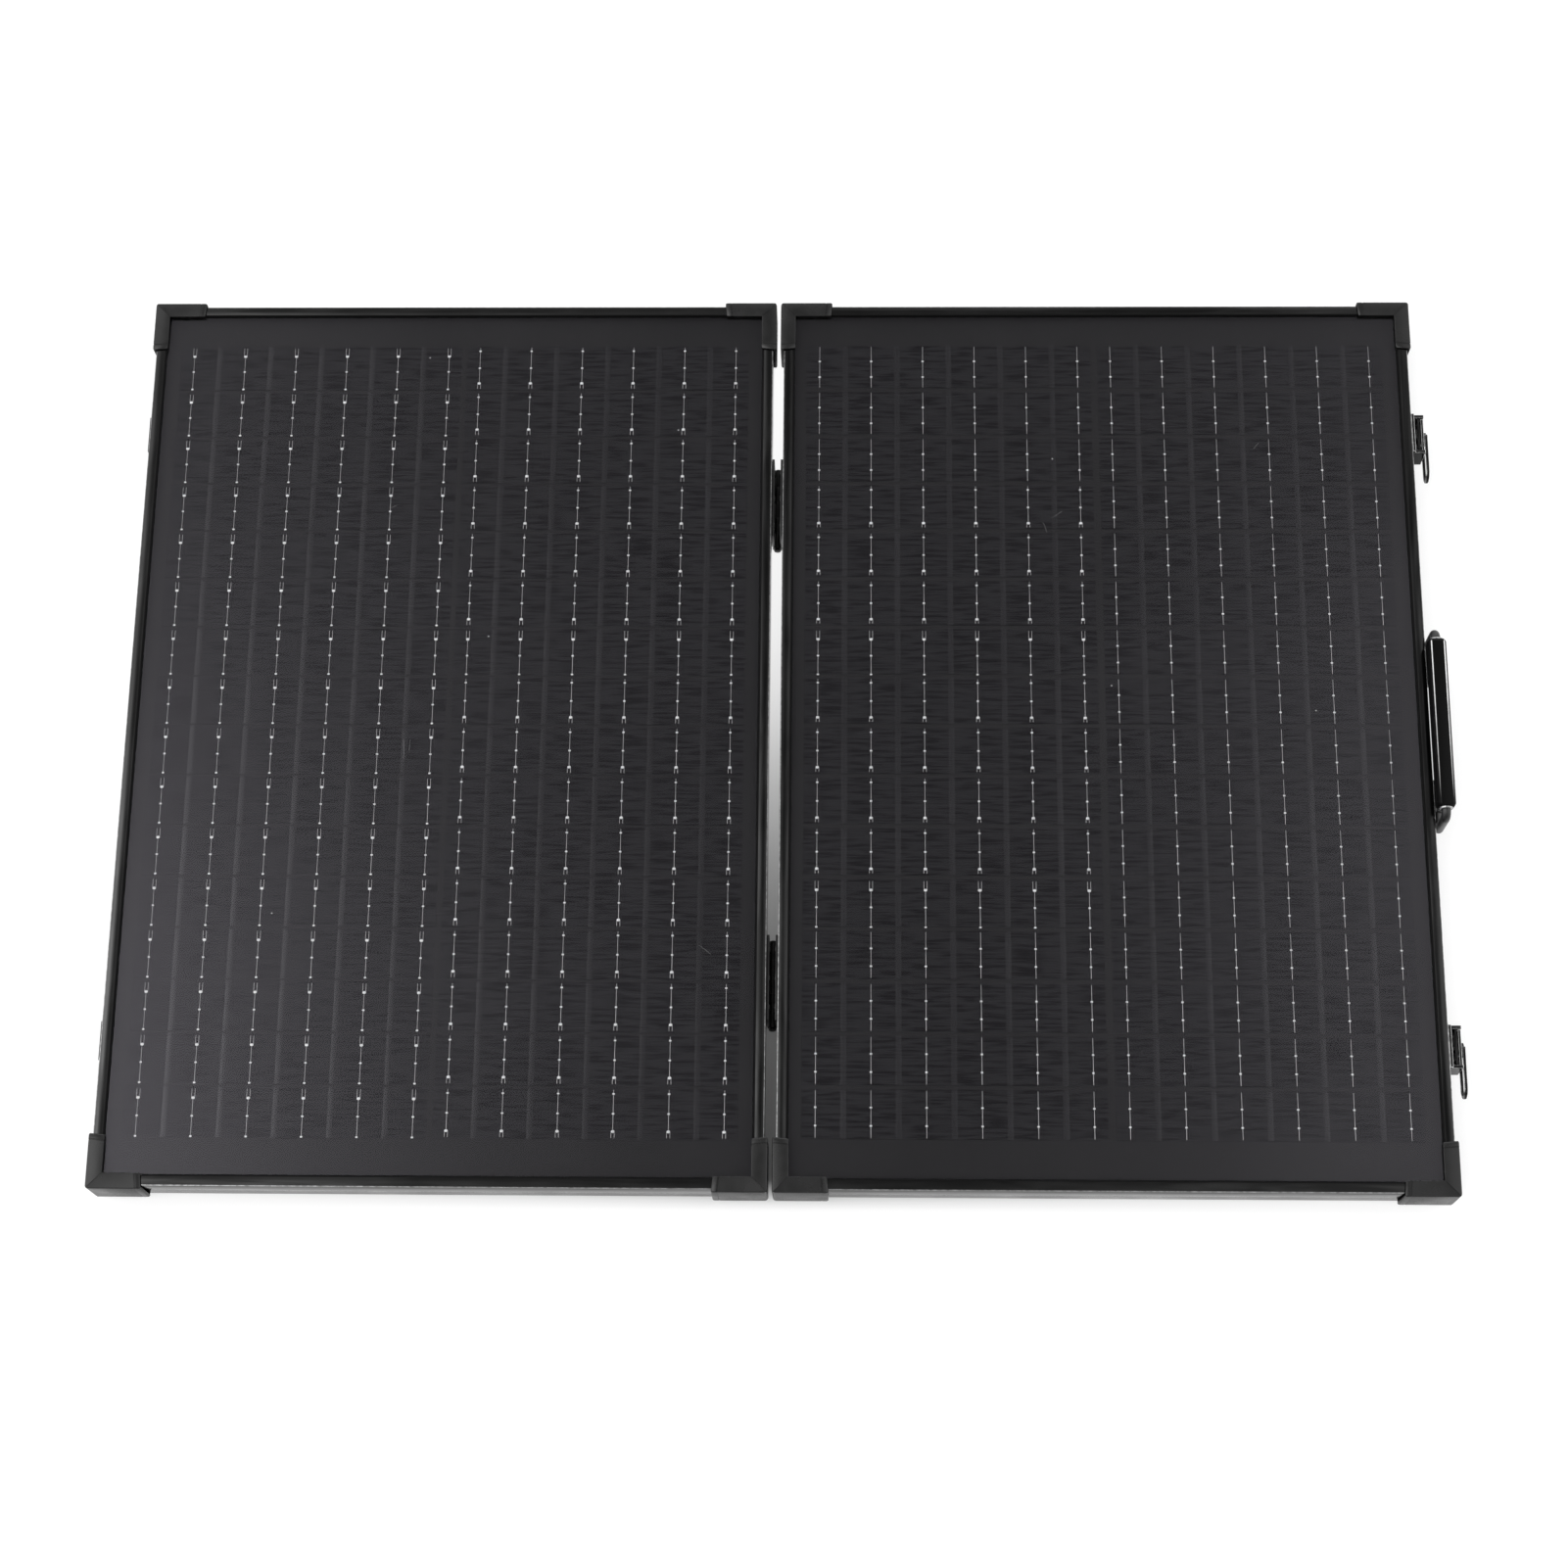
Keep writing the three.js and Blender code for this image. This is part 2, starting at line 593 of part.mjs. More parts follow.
// Half of the handle's mount: a plate on the frame, with a lug for the end of the bail.
// side is -1 at the near end, +1 at the far end.
function handleBracket(side) {
  const span = [LUG_START, LUG_START + LUG_LENGTH];
  const plateSpan = inset(span, -LUG_PLATE_PAST);
  const plate = block([FIT, FIT + LUG_PLATE_THICKNESS], plateSpan, LUG_PLATE);
  const lug = bar('y', LUG_RADIUS, span, [LUG_OUT, LUG_UP]);
  const webHeight = 2 * (LUG_RADIUS - LUG_WEB_INSET);
  const web = block([LUG_PLATE_THICKNESS / 2, LUG_OUT], span, around(LUG_UP, webHeight));
  const boreRadius = BAIL_RADIUS + RUNNING_CLEARANCE;
  const bore = bar('y', boreRadius, inset(span, -OVERRUN), [LUG_OUT, LUG_UP]);
  const bracket = cut(join(plate, lug, web), bore);
  return side > 0 ? bracket : mirrored(bracket).rotateZ(Math.PI);
}

// ---- charge controller on the right panel's back, facing down ----
const CONTROLLER = {
  top: BACKSHEET_UNDER - FIT,
  coverTop: BACKSHEET_UNDER - 2 * FIT - CONTROLLER_SIZE[2],
  across: around(MIDDLE, CONTROLLER_SIZE[0]),
  along: around(CONTROLLER_Y, CONTROLLER_SIZE[1]),
  displayY: CONTROLLER_Y + 12,
  buttonY: CONTROLLER_Y - 16,
};
const COVER_FACE = CONTROLLER.coverTop - COVER_THICKNESS;

function controllerCase() {
  const { top, across, along } = CONTROLLER;
  const depth = CONTROLLER_SIZE[2];
  const inside = block(
    inset(across, BOX_WALL),
    inset(along, BOX_WALL),
    [top - depth - OVERRUN, top - BOX_WALL],
  );
  return cut(block(across, along, [top - depth, top]), inside);
}

function displayOutline(growth) {
  const [width, length] = DISPLAY_SIZE;
  return [around(MIDDLE, width + growth), around(CONTROLLER.displayY, length + growth)];
}

function buttonCentre(side) {
  return [MIDDLE + side * BUTTON_SPACING, CONTROLLER.buttonY];
}

function controllerCover() {
  const { across, along, coverTop } = CONTROLLER;
  const through = [COVER_FACE - OVERRUN, coverTop + OVERRUN];
  const plate = block(across, along, [COVER_FACE, coverTop]);
  const window = block(...displayOutline(0), through);
  const holes = [-1, 1].map((side) => {
    return bar('z', BUTTON_RADIUS + DISPLAY_PLAY, through, buttonCentre(side));
  });
  return cut(plate, window, ...holes);
}

function controllerDisplay() {
  const depth = [COVER_FACE + DISPLAY_SET_BACK, CONTROLLER.coverTop + BEHIND_COVER];
  return block(...displayOutline(-2 * DISPLAY_PLAY), depth);
}

function controllerButton(side) {
  const depth = [COVER_FACE - BUTTON_PROUD, CONTROLLER.coverTop + BEHIND_COVER];
  return bar('z', BUTTON_RADIUS, depth, buttonCentre(side));
}

function terminalBlock() {
  const [width, length, depth] = TERMINAL_SIZE;
  const back = CONTROLLER.along[0] - FIT;
  const front = back - length;
  const body = block(around(MIDDLE, width), [front, back], [CONTROLLER.top - depth, CONTROLLER.top]);
  const bores = [];
  for (let i = 0; i < TERMINALS; i += 1) {
    const x = MIDDLE + (i - (TERMINALS - 1) / 2) * TERMINAL_PITCH;
    const centre = [x, CONTROLLER.top - TERMINAL_BORE_UP];
    bores.push(bar('y', TERMINAL_BORE_RADIUS, [front - OVERRUN, front + TERMINAL_BORE_DEPTH], centre));
  }
  return cut(body, ...bores);
}

// ---- assembly ----
const kit = new THREE.Group();

// side is +1 for the right panel and -1 for the left; the geometry is given as for the right
// panel, x from its hinge side, z from the frame's underside.
function place(name, geometry, material, side) {
  const mesh = new THREE.Mesh(side > 0 ? geometry : mirrored(geometry), material);
  mesh.name = name;
  mesh.position.set(FOLD_X + (side * PANEL_GAP) / 2, 0, FOOT_HEIGHT);
  kit.add(mesh);
}

function addFrame(name, side) {
  const quarter = Math.PI / 2;
  const rails = {
    inner: rail(PANEL_LENGTH),
    outer: rail(PANEL_LENGTH).rotateZ(2 * quarter).translate(PANEL_WIDTH, 0, 0),
    near: rail(PANEL_WIDTH).rotateZ(quarter).translate(MIDDLE, -HALF_LENGTH, 0),
    far: rail(PANEL_WIDTH).rotateZ(-quarter).translate(MIDDLE, HALF_LENGTH, 0),
  };
  for (const [where, geometry] of Object.entries(rails)) {
    place(`${name}_rail_${where}`, geometry, MATERIALS.anodised, side);
  }
}

// The two panels carry their feet on different arms of the caps, so the feet pass each
// other and land on the opposite caps when the kit is folded.
function addCaps(name, side) {
  const onXArm = side > 0;
  const caps = {
    near_inner: cornerCap(onXArm).translate(0, -HALF_LENGTH, 0),
    near_outer: mirrored(cornerCap(onXArm)).translate(PANEL_WIDTH, -HALF_LENGTH, 0),
    far_outer: cornerCap(onXArm).rotateZ(Math.PI).translate(PANEL_WIDTH, HALF_LENGTH, 0),
    far_inner: mirrored(cornerCap(onXArm)).rotateZ(Math.PI).translate(0, HALF_LENGTH, 0),
  };
  for (const [where, geometry] of Object.entries(caps)) {
    place(`${name}_cap_${where}`, geometry, MATERIALS.capPlastic, side);
  }
}

function addLaminate(name, side) {
  const glass = laminateSheet(LAMINATE_EDGE, GLASS_TOP, GLASS_THICKNESS);
  const cells = laminateSheet(LAMINATE_EDGE + 1, CELLS_TOP, CELL_LAYER_THICKNESS);
  const backsheet = laminateSheet(LAMINATE_EDGE, BACKSHEET_TOP, BACKSHEET_THICKNESS);
  place(`${name}_glass`, glass, MATERIALS.glass, side);
  place(`${name}_cell_layer`, cells, MATERIALS.cells, side);
  place(`${name}_backsheet`, backsheet, MATERIALS.backsheet, side);
}

function addBack(name, side) {
  place(`${name}_junction_box`, junctionBox(), MATERIALS.boxPlastic, side);
  place(`${name}_junction_box_lid`, junctionBoxLid(), MATERIALS.boxPlastic, side);
  place(`${name}_kickstand`, kickstand(), MATERIALS.anodised, side);
  place(`${name}_kickstand_sleeve`, kickstandSleeve(), MATERIALS.rubber, side);
  place(`${name}_kickstand_bracket_inner`, kickstandBracket(-1), MATERIALS.blackSteel, side);
  place(`${name}_kickstand_bracket_outer`, kickstandBracket(1), MATERIALS.blackSteel, side);
}

for (const [name, side] of [['left', -1], ['right', 1]]) {
  addFrame(name, side);
  addCaps(name, side);
  addLaminate(name, side);
  addBack(name, side);
}

for (const [name, y] of [['near', -HINGE_Y], ['far', HINGE_Y]]) {
  const toFoldAxis = -PANEL_GAP / 2;
  const right = hingeLeaf(0).translate(toFoldAxis, y, 0);
  const left = hingeLeaf(1).translate(toFoldAxis, y, 0);
  place(`${name}_hinge_leaf_right`, right, MATERIALS.blackSteel, 1);
  place(`${name}_hinge_leaf_left`, left, MATERIALS.blackSteel, -1);
  place(`${name}_hinge_pin`, hingePin().translate(toFoldAxis, y, 0), MATERIALS.blackSteel, 1);
}

for (const [name, y] of [['near', -LATCH_Y], ['far', LATCH_Y]]) {
  const parts = {
    base: latchBase(),
    hook: latchHook(),
    cam: latchCam(),
    wing: latchWing(),
  };
  for (const [part, geometry] of Object.entries(parts)) {
    geometry.translate(PANEL_WIDTH, y, MID_DEPTH);
    place(`${name}_latch_${part}`, geometry, MATERIALS.latchSteel, 1);
  }
  const catchPlate = keeper().translate(PANEL_WIDTH, y, MID_DEPTH);
  place(`${name}_keeper`, catchPlate, MATERIALS.latchSteel, -1);
}

const handleParts = {
  bail: [handleBail(), MATERIALS.blackSteel],
  grip: [handleGrip(), MATERIALS.gripPlastic],
};
for (const [part, [geometry, material]] of Object.entries(handleParts)) {
  geometry.translate(PANEL_WIDTH + LUG_OUT, 0, LUG_UP);
  place(`handle_${part}`, geometry, material, 1);
}
for (const [name, side] of [['near', -1], ['far', 1]]) {
  const bracket = handleBracket(side).translate(PANEL_WIDTH, 0, 0);
  place(`handle_bracket_${name}`, bracket, MATERIALS.blackSteel, 1);
}

place('controller_case', controllerCase(), MATERIALS.boxPlastic, 1);
place('controller_cover', controllerCover(), MATERIALS.boxPlastic, 1);
place('controller_display', controllerDisplay(), MATERIALS.display, 1);
place('controller_terminal_block', terminalBlock(), MATERIALS.terminals, 1);
place('controller_button_left', controllerButton(-1), MATERIALS.rubber, 1);
place('controller_button_right', controllerButton(1), MATERIALS.rubber, 1);

export default kit;
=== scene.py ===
"""Looks for the folding solar suitcase kit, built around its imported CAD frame.

+Z is up and the two panels lie open with their cells up. Shapes are worked out in millimetres,
in the CAD frame, and make_piece turns them into metres.
"""

import json
import math

import bmesh
import bpy
from mathutils import Euler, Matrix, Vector


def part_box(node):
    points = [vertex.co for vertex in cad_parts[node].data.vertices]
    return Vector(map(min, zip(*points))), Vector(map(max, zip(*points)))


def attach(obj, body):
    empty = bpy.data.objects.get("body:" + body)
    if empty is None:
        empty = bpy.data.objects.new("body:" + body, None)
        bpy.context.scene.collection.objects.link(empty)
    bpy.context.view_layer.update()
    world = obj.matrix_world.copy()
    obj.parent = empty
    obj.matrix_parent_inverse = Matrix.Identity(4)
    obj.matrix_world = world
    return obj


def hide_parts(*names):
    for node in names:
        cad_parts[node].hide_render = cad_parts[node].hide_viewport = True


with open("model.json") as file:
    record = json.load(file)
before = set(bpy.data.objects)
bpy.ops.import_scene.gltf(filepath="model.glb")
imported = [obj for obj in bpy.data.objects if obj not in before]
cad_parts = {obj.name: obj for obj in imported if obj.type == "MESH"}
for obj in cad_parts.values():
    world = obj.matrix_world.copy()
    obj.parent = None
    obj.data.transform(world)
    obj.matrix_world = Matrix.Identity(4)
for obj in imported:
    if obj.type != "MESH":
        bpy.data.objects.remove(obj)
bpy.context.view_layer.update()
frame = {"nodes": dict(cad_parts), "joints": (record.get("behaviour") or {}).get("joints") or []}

MM = 0.001
X = Vector((1, 0, 0))
Y = Vector((0, 1, 0))
Z = Vector((0, 0, 1))


# ---------------------------------------------------------------- places
def span_of(*nodes):
    """Lowest and highest corner, in millimetres, of CAD nodes taken together."""
    boxes = [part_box(node) for node in nodes]
    low = Vector([min(low[i] for low, _ in boxes) for i in range(3)])
    high = Vector([max(high[i] for _, high in boxes) for i in range(3)])
    return low / MM, high / MM


def joint_place(name):
    """A hinge joint's place, in millimetres."""
    joint = next(joint for joint in frame["joints"] if joint["name"] == name)
    return Vector(joint["pos_m"]) / MM


class Panel:
    """One framed panel. u runs from its hinge side outwards, y away from the user, w up."""

    def __init__(self, name, side):
        rails = [f"{name}_rail_{where}" for where in ("inner", "outer", "near", "far")]
        low, high = span_of(*rails)
        self.name = name
        self.side = side
        self.body = f"{name}_panel"
        self.rails = rails
        self.width = high.x - low.x
        self.hinge_x = low.x if side > 0 else high.x
        self.near = low.y
        self.far = high.y
        self.under = low.z
        self.top = high.z

    def point(self, u, y, w):
        return Vector((self.hinge_x + self.side * u, y, self.under + w))

    def corner(self, outer, far):
        """A function from (a, b, w), measured inwards from one corner of the frame, to a place."""
        start_u, along_u = (self.width, -1) if outer else (0, 1)
        start_y, along_y = (self.far, -1) if far else (self.near, 1)

        def place(a, b, w):
            return self.point(start_u + along_u * a, start_y + along_y * b, w)

        return place


PANELS = [Panel("left", -1), Panel("right", 1)]
LEFT, RIGHT = PANELS
ENDS = (("near", -1), ("far", 1))


# ---------------------------------------------------------------- mesh building
def outline_circle(radius, sides=24):
    angles = [2 * math.pi * i / sides for i in range(sides)]
    return [(radius * math.cos(angle), radius * math.sin(angle)) for angle in angles]


def rounded_outline(corners, radii, steps=4):
    """A closed outline with each corner rounded to its radius. A corner with radius 0 stays sharp."""
    points = []
    for i, corner in enumerate(corners):
        here = Vector(corner)
        back = (Vector(corners[i - 1]) - here).normalized()
        ahead = (Vector(corners[(i + 1) % len(corners)]) - here).normalized()
        radius = radii[i]
        if radius == 0:
            points.append(tuple(here))
            continue
        centre = here + (back + ahead) * radius
        for step in range(steps + 1):
            turn = (step / steps) * math.pi / 2
            points.append(tuple(centre - ahead * radius * math.cos(turn) - back * radius * math.sin(turn)))
    return points


def rounded_box_outline(width, height, radius, steps=4):
    a, b = width / 2, height / 2
    return rounded_outline([(-a, -b), (a, -b), (a, b), (-a, b)], [radius] * 4, steps)


def shrunk(outline, amount):
    """The outline moved inwards by the amount. The outline runs anticlockwise."""
    points = [Vector(point) for point in outline]
    moved = []
    for i, point in enumerate(points):
        before = (point - points[i - 1]).normalized()
        after = (points[(i + 1) % len(points)] - point).normalized()
        normal = Vector((-before.y - after.y, before.x + after.x)).normalized()
        stretch = 1 / max(0.5, math.sqrt(max(0, (1 + before.dot(after)) / 2)))
        moved.append(tuple(point + normal * amount * stretch))
    return moved


def bent_path(points, bend, steps=8):
    """The points joined by straight runs, with an arc of the bend radius at each right-angle corner."""
    path = [points[0]]
    for i in range(1, len(points) - 1):
        corner = points[i]
        back = (points[i - 1] - corner).normalized()
        ahead = (points[i + 1] - corner).normalized()
        centre = corner + (back + ahead) * bend
        for step in range(steps + 1):
            turn = (step / steps) * math.pi / 2
            path.append(centre - ahead * bend * math.cos(turn) - back * bend * math.sin(turn))
    path.append(points[-1])
    return path


def cross_radius(arm, half_width):
    """Radius at each angle of a cross-shaped recess."""

    def radius(angle):
        within = angle % (math.pi / 2)
        nearest = min(within, math.pi / 2 - within)
        if math.tan(nearest) * arm < half_width:
            return arm / math.cos(nearest)
        return half_width / math.sin(nearest)

    return radius


def hexagon_radius(apothem):
    def radius(angle):
        within = (angle + math.pi / 6) % (math.pi / 3) - math.pi / 6
        return apothem / math.cos(within)

    return radius


# angles at which a cross-shaped recess keeps its corners nearly true
DRIVE_ANGLES = [
    math.radians(quarter + step)
    for quarter in (0, 90, 180, 270)
    for step in (0, 18, 30, 45, 60, 72)
]


class Shape:
    """A mesh being built, in millimetres."""

    def __init__(self):
        self.bm = bmesh.new()

    def loft(self, rings, loop=False):
        """Skins the rings in order. With loop the last ring joins the first, else both ends are closed."""
        rows = [[self.bm.verts.new(point) for point in ring] for ring in rings]
        pairs = list(zip(rows, rows[1:]))
        if loop:
            pairs.append((rows[-1], rows[0]))
        else:
            self.bm.faces.new(rows[0])
            self.bm.faces.new(rows[-1])
        for one, two in pairs:
            for i in range(len(one)):
                j = (i + 1) % len(one)
                self.bm.faces.new((one[i], one[j], two[j], two[i]))

    def ring(self, centre, across, up, outline):
        return [centre + across * a + up * b for a, b in outline]

    def turned(self, centre, axis, profile, sides=24, loop=False):
        """A turned piece. The profile gives (distance along the axis, radius) from one end to the other."""
        across = axis.orthogonal().normalized()
        up = axis.cross(across)
        rings = []
        for along, radius in profile:
            rings.append(self.ring(centre + axis * along, across, up, outline_circle(radius, sides)))
        self.loft(rings, loop)

    def tube(self, centre, axis, profile, sides=24):
        """A turned ring, whose profile is a closed loop."""
        self.turned(centre, axis, profile, sides, loop=True)

    def rim(self, low, high, level, section):
        """A closed strip round a rectangle. The section gives (distance outwards, height)."""
        corners = (
            (low.x, low.y, -1, -1), (high.x, low.y, 1, -1), (high.x, high.y, 1, 1), (low.x, high.y, -1, 1),
        )
        rings = []
        for x, y, side_x, side_y in corners:
            rings.append([Vector((x + side_x * out, y + side_y * out, level + up)) for out, up in section])
        self.loft(rings, loop=True)

    def swept(self, path, outline, flat_normal):
        """The outline carried along a path that stays in the plane across flat_normal."""
        rings = []
        for i, point in enumerate(path):
            before = (point - path[max(i - 1, 0)]).normalized()
            after = (path[min(i + 1, len(path) - 1)] - point).normalized()
            along = (before + after).normalized()
            stretch = 1 / max(along.dot(after if i == 0 else before), 0.5)
            side = along.cross(flat_normal).normalized() * stretch
            rings.append(self.ring(point, side, flat_normal, outline))
        self.loft(rings)

    def slab(self, low, high, edge=0.3, axis=2):
        """A block with its edges taken off, lofted along one axis."""
        others = [i for i in range(3) if i != axis]
        sizes = [high[i] - low[i] for i in others]
        middle = [(high[i] + low[i]) / 2 for i in others]
        outline = rounded_box_outline(sizes[0], sizes[1], edge, 3)
        rings = []
        bottom, top = low[axis], high[axis]
        for level, inset in ((bottom, edge), (bottom + edge, 0), (top - edge, 0), (top, edge)):
            ring = []
            for a, b in outline if inset == 0 else shrunk(outline, inset * 0.9):
                point = Vector((0, 0, 0))
                point[others[0]] = middle[0] + a
                point[others[1]] = middle[1] + b
                point[axis] = level
                ring.append(point)
            rings.append(ring)
        self.loft(rings)

    def fastener(self, centre, axis, radius, height, turn=0.0):
        """A domed screw head with a cross-shaped recess, standing on a face at the centre."""
        across = axis.orthogonal().normalized()
        up = axis.cross(across)
        recess = cross_radius(0.62 * radius, 0.17 * radius)
        stations = (
            (-0.1, 1.0, False), (0.3, 1.0, False), (0.62, 0.95, False), (0.88, 0.82, False),
            (1.0, 0.68, False), (0.99, 1.0, True), (0.35, 0.86, True),
        )
        rings = []
        for level, share, recessed in stations:
            ring = []
            for angle in DRIVE_ANGLES:
                direction = across * math.cos(angle + turn) + up * math.sin(angle + turn)
                reach = recess(angle) if recessed else radius
                ring.append(centre + axis * height * level + direction * reach * share)
            rings.append(ring)
        self.loft(rings)

    def rivet(self, centre, axis, radius, height):
        """A blind rivet's domed head, with the hole its stem left."""
        profile = (
            (-0.1 * height, radius), (0.25 * height, radius), (0.6 * height, 0.88 * radius),
            (0.88 * height, 0.66 * radius), (height, 0.42 * radius), (0.97 * height, 0.3 * radius),
            (0.45 * height, 0.26 * radius),
        )
        self.turned(centre, axis, profile, 20)

    def picture_frame(self, corners, section):
        """A closed frame with mitred corners. Each corner is a function of (a, b, w); section is (d, w)."""
        rings = [[corner(d, d, w) for d, w in section] for corner in corners]
        self.loft(rings, loop=True)


# ---------------------------------------------------------------- shader nodes
class Graph:
    """Builds a node tree. An input may be given a plain value or another node's output."""

    def __init__(self, tree):
        self.tree = tree
        tree.nodes.clear()

    def node(self, kind, inputs=None, **settings):
        made = self.tree.nodes.new(kind)
        for key, value in settings.items():
            setattr(made, key, value)
        for key, value in (inputs or {}).items():
            self.feed(made.inputs[key], value)
        return made

    def feed(self, socket, value):
        if isinstance(value, bpy.types.NodeSocket):
            self.tree.links.new(value, socket)
        else:
            socket.default_value = value

    def math(self, operation, *values):
        return self.node("ShaderNodeMath", dict(enumerate(values)), operation=operation).outputs[0]

    def place(self, scale=(1, 1, 1)):
        """Object coordinates, in metres, scaled along each axis."""
        source = self.node("ShaderNodeTexCoord").outputs["Object"]
        return self.node("ShaderNodeMapping", {"Vector": source, "Scale": scale}).outputs[0]

    def split(self, vector):
        """The three parts of a vector."""
        return self.node("ShaderNodeSeparateXYZ", {0: vector}).outputs

    def noise(self, vector, scale, detail=3.0, roughness=0.5, distortion=0.0):
        inputs = {
            "Vector": vector, "Scale": scale, "Detail": detail,
            "Roughness": roughness, "Distortion": distortion,
        }
        return self.node("ShaderNodeTexNoise", inputs).outputs["Fac"]

    def wave(self, vector, scale, direction, distortion):
        """Soft bands that follow each other along one axis."""
        inputs = {"Vector": vector, "Scale": scale, "Distortion": distortion}
        return self.node("ShaderNodeTexWave", inputs, bands_direction=direction).outputs["Fac"]

    def remap(self, value, low, high, to_low, to_high):
        inputs = {"Value": value, "From Min": low, "From Max": high, "To Min": to_low, "To Max": to_high}
        return self.node("ShaderNodeMapRange", inputs, clamp=True).outputs["Result"]

    def mix(self, factor, one, two):
        """A colour between two colours."""
        return self.node("ShaderNodeMix", {"Factor": factor, 6: one, 7: two}, data_type="RGBA").outputs[2]

    def blend(self, factor, one, two):
        """A number between two numbers."""
        return self.node("ShaderNodeMix", {"Factor": factor, 2: one, 3: two}, data_type="FLOAT").outputs[0]

    def patchy(self, pattern, one, two):
        """A colour that drifts between two colours with a noise pattern."""
        return self.mix(self.remap(pattern, 0.3, 0.7, 0, 1), one, two)

    def facing_up(self, upright, level):
        """One factor for faces that look up and another for the rest, by the surface's own direction."""
        normal = self.node("ShaderNodeNewGeometry").outputs["True Normal"]
        return self.remap(self.split(normal)[2], 0.25, 0.85, upright, level)

    def bump(self, height, strength, distance_mm, normal=None):
        inputs = {"Height": height, "Strength": strength, "Distance": distance_mm * MM}
        if normal is not None:
            inputs["Normal"] = normal
        return self.node("ShaderNodeBump", inputs).outputs["Normal"]


def grey(level, tint=(1.0, 1.0, 1.0)):
    return (level * tint[0], level * tint[1], level * tint[2], 1.0)


def new_material(name):
    material = bpy.data.materials.new(name)
    material.use_nodes = True
    return material, Graph(material.node_tree)


def principled(graph, **inputs):
    """A Principled shader on the material's output. Underscores in the names stand for spaces."""
    named = {key.replace("_", " "): value for key, value in inputs.items()}
    shader = graph.node("ShaderNodeBsdfPrincipled", named)
    graph.node("ShaderNodeOutputMaterial", {"Surface": shader.outputs[0]})


# ---------------------------------------------------------------- materials
ANODISED_BASE = 0.001
ANODISED_ROUGHNESS = 0.12


def anodised_metal(name, along, polish=(0.25, 0.6)):
    """Black anodised extrusion, with die lines and handling marks that run along one axis."""
    material, graph = new_material(name)
    stretch = [900, 900, 900]
    stretch[along] = 6
    lines = graph.noise(graph.place(stretch), 1.0, 2.0, 0.6)
    slow = [150, 150, 230]
    slow[along] = 11
    waves = graph.noise(graph.place(slow), 1.0, 3.0, 0.6, 0.5)
    grain = graph.noise(graph.place(), 2600, 2.0)
    smudges = graph.noise(graph.place(), 24, 4.0, 0.6)
    factor = graph.remap(lines, 0.35, 0.7, 0, 1)
    colour = graph.mix(factor, grey(ANODISED_BASE * 0.7), grey(ANODISED_BASE * 1.6))
    smudged = graph.remap(smudges, 0.3, 0.7, ANODISED_ROUGHNESS - 0.05, ANODISED_ROUGHNESS + 0.08)
    principled(
        graph,
        Base_Color=colour,
        Metallic=0.0,
        Roughness=graph.math("ADD", smudged, graph.remap(grain, 0.3, 0.7, 0.0, 0.04)),
        IOR=1.5,
        Normal=graph.bump(lines, 0.12, 0.05, graph.bump(waves, 0.5, 0.08)),
        Specular_IOR_Level=graph.math(
            "MULTIPLY", graph.remap(waves, 0.38, 0.64, *polish), graph.facing_up(0.62, 1.0)),
    )
    return material


def grained_plastic(
    name, base, rough, grain_scale=1500, grain_depth=0.05, mottle=0.25, tint=(1, 1, 1),
    gloss=0.5, side_gloss=1.0,
):
    """Moulded plastic with a spark-eroded grain and slight mottling."""
    material, graph = new_material(name)
    place = graph.place()
    grain = graph.noise(place, grain_scale, 3.0, 0.6)
    clouds = graph.noise(place, 70, 4.0, 0.6)
    scuffs = graph.noise(graph.place((1, 0.25, 1)), 420, 4.0, 0.7, 0.6)
    level = graph.remap(clouds, 0.3, 0.7, 1 - mottle, 1 + mottle)
    tone = graph.math("MULTIPLY", level, graph.remap(grain, 0.3, 0.7, 0.85, 1.15))
    colour = graph.mix(tone, grey(0.0), grey(base, tint))
    colour = graph.mix(graph.remap(scuffs, 0.66, 0.8, 0, 0.25), colour, grey(base * 2.5, tint))
    principled(
        graph,
        Base_Color=colour,
        Roughness=graph.remap(clouds, 0.3, 0.7, rough - 0.06, rough + 0.06),
        IOR=1.48,
        Normal=graph.bump(grain, 0.6, grain_depth),
        Specular_IOR_Level=graph.math("MULTIPLY", graph.facing_up(side_gloss, 1.0), gloss),
    )
    return material


def coated_steel(name, base, rough, metallic, flow=(1, 1, 1), wear=0.06, gloss=0.5, side_gloss=1.0):
    """Painted or plated steel with an orange-peel skin and small chips."""
    material, graph = new_material(name)
    place = graph.place(flow)
    peel = graph.noise(place, 700, 2.0)
    clouds = graph.noise(place, 55, 3.0)
    chips = graph.noise(graph.place(), 330, 5.0, 0.75)
    worn = graph.remap(chips, 0.70, 0.74, 0, wear * 4)
    colour = graph.patchy(clouds, grey(base * 0.8), grey(base * 1.25))
    principled(
        graph,
        Base_Color=graph.mix(worn, colour, grey(0.22)),
        Metallic=metallic,
        Roughness=graph.remap(clouds, 0.3, 0.7, rough - 0.05, rough + 0.07),
        Normal=graph.bump(peel, 0.35, 0.05),
        Specular_IOR_Level=graph.math("MULTIPLY", graph.facing_up(side_gloss, 1.0), gloss),
    )
    return material


def worn_edge_and_painted_highlight(name, base, metallic, rough):
    """The rubbed edge of a coated part, a little brighter than its faces. Near white and hardly metallic, as
    on the latch base, it is a painted highlight.
    """
    material, graph = new_material(name)
    rub = graph.noise(graph.place(), 300, 4.0, 0.7)
    colour = graph.mix(graph.remap(rub, 0.35, 0.65, 0, 1), grey(base * 0.4), grey(base))
    principled(graph, Base_Color=colour, Metallic=metallic, Roughness=rough)
    return material


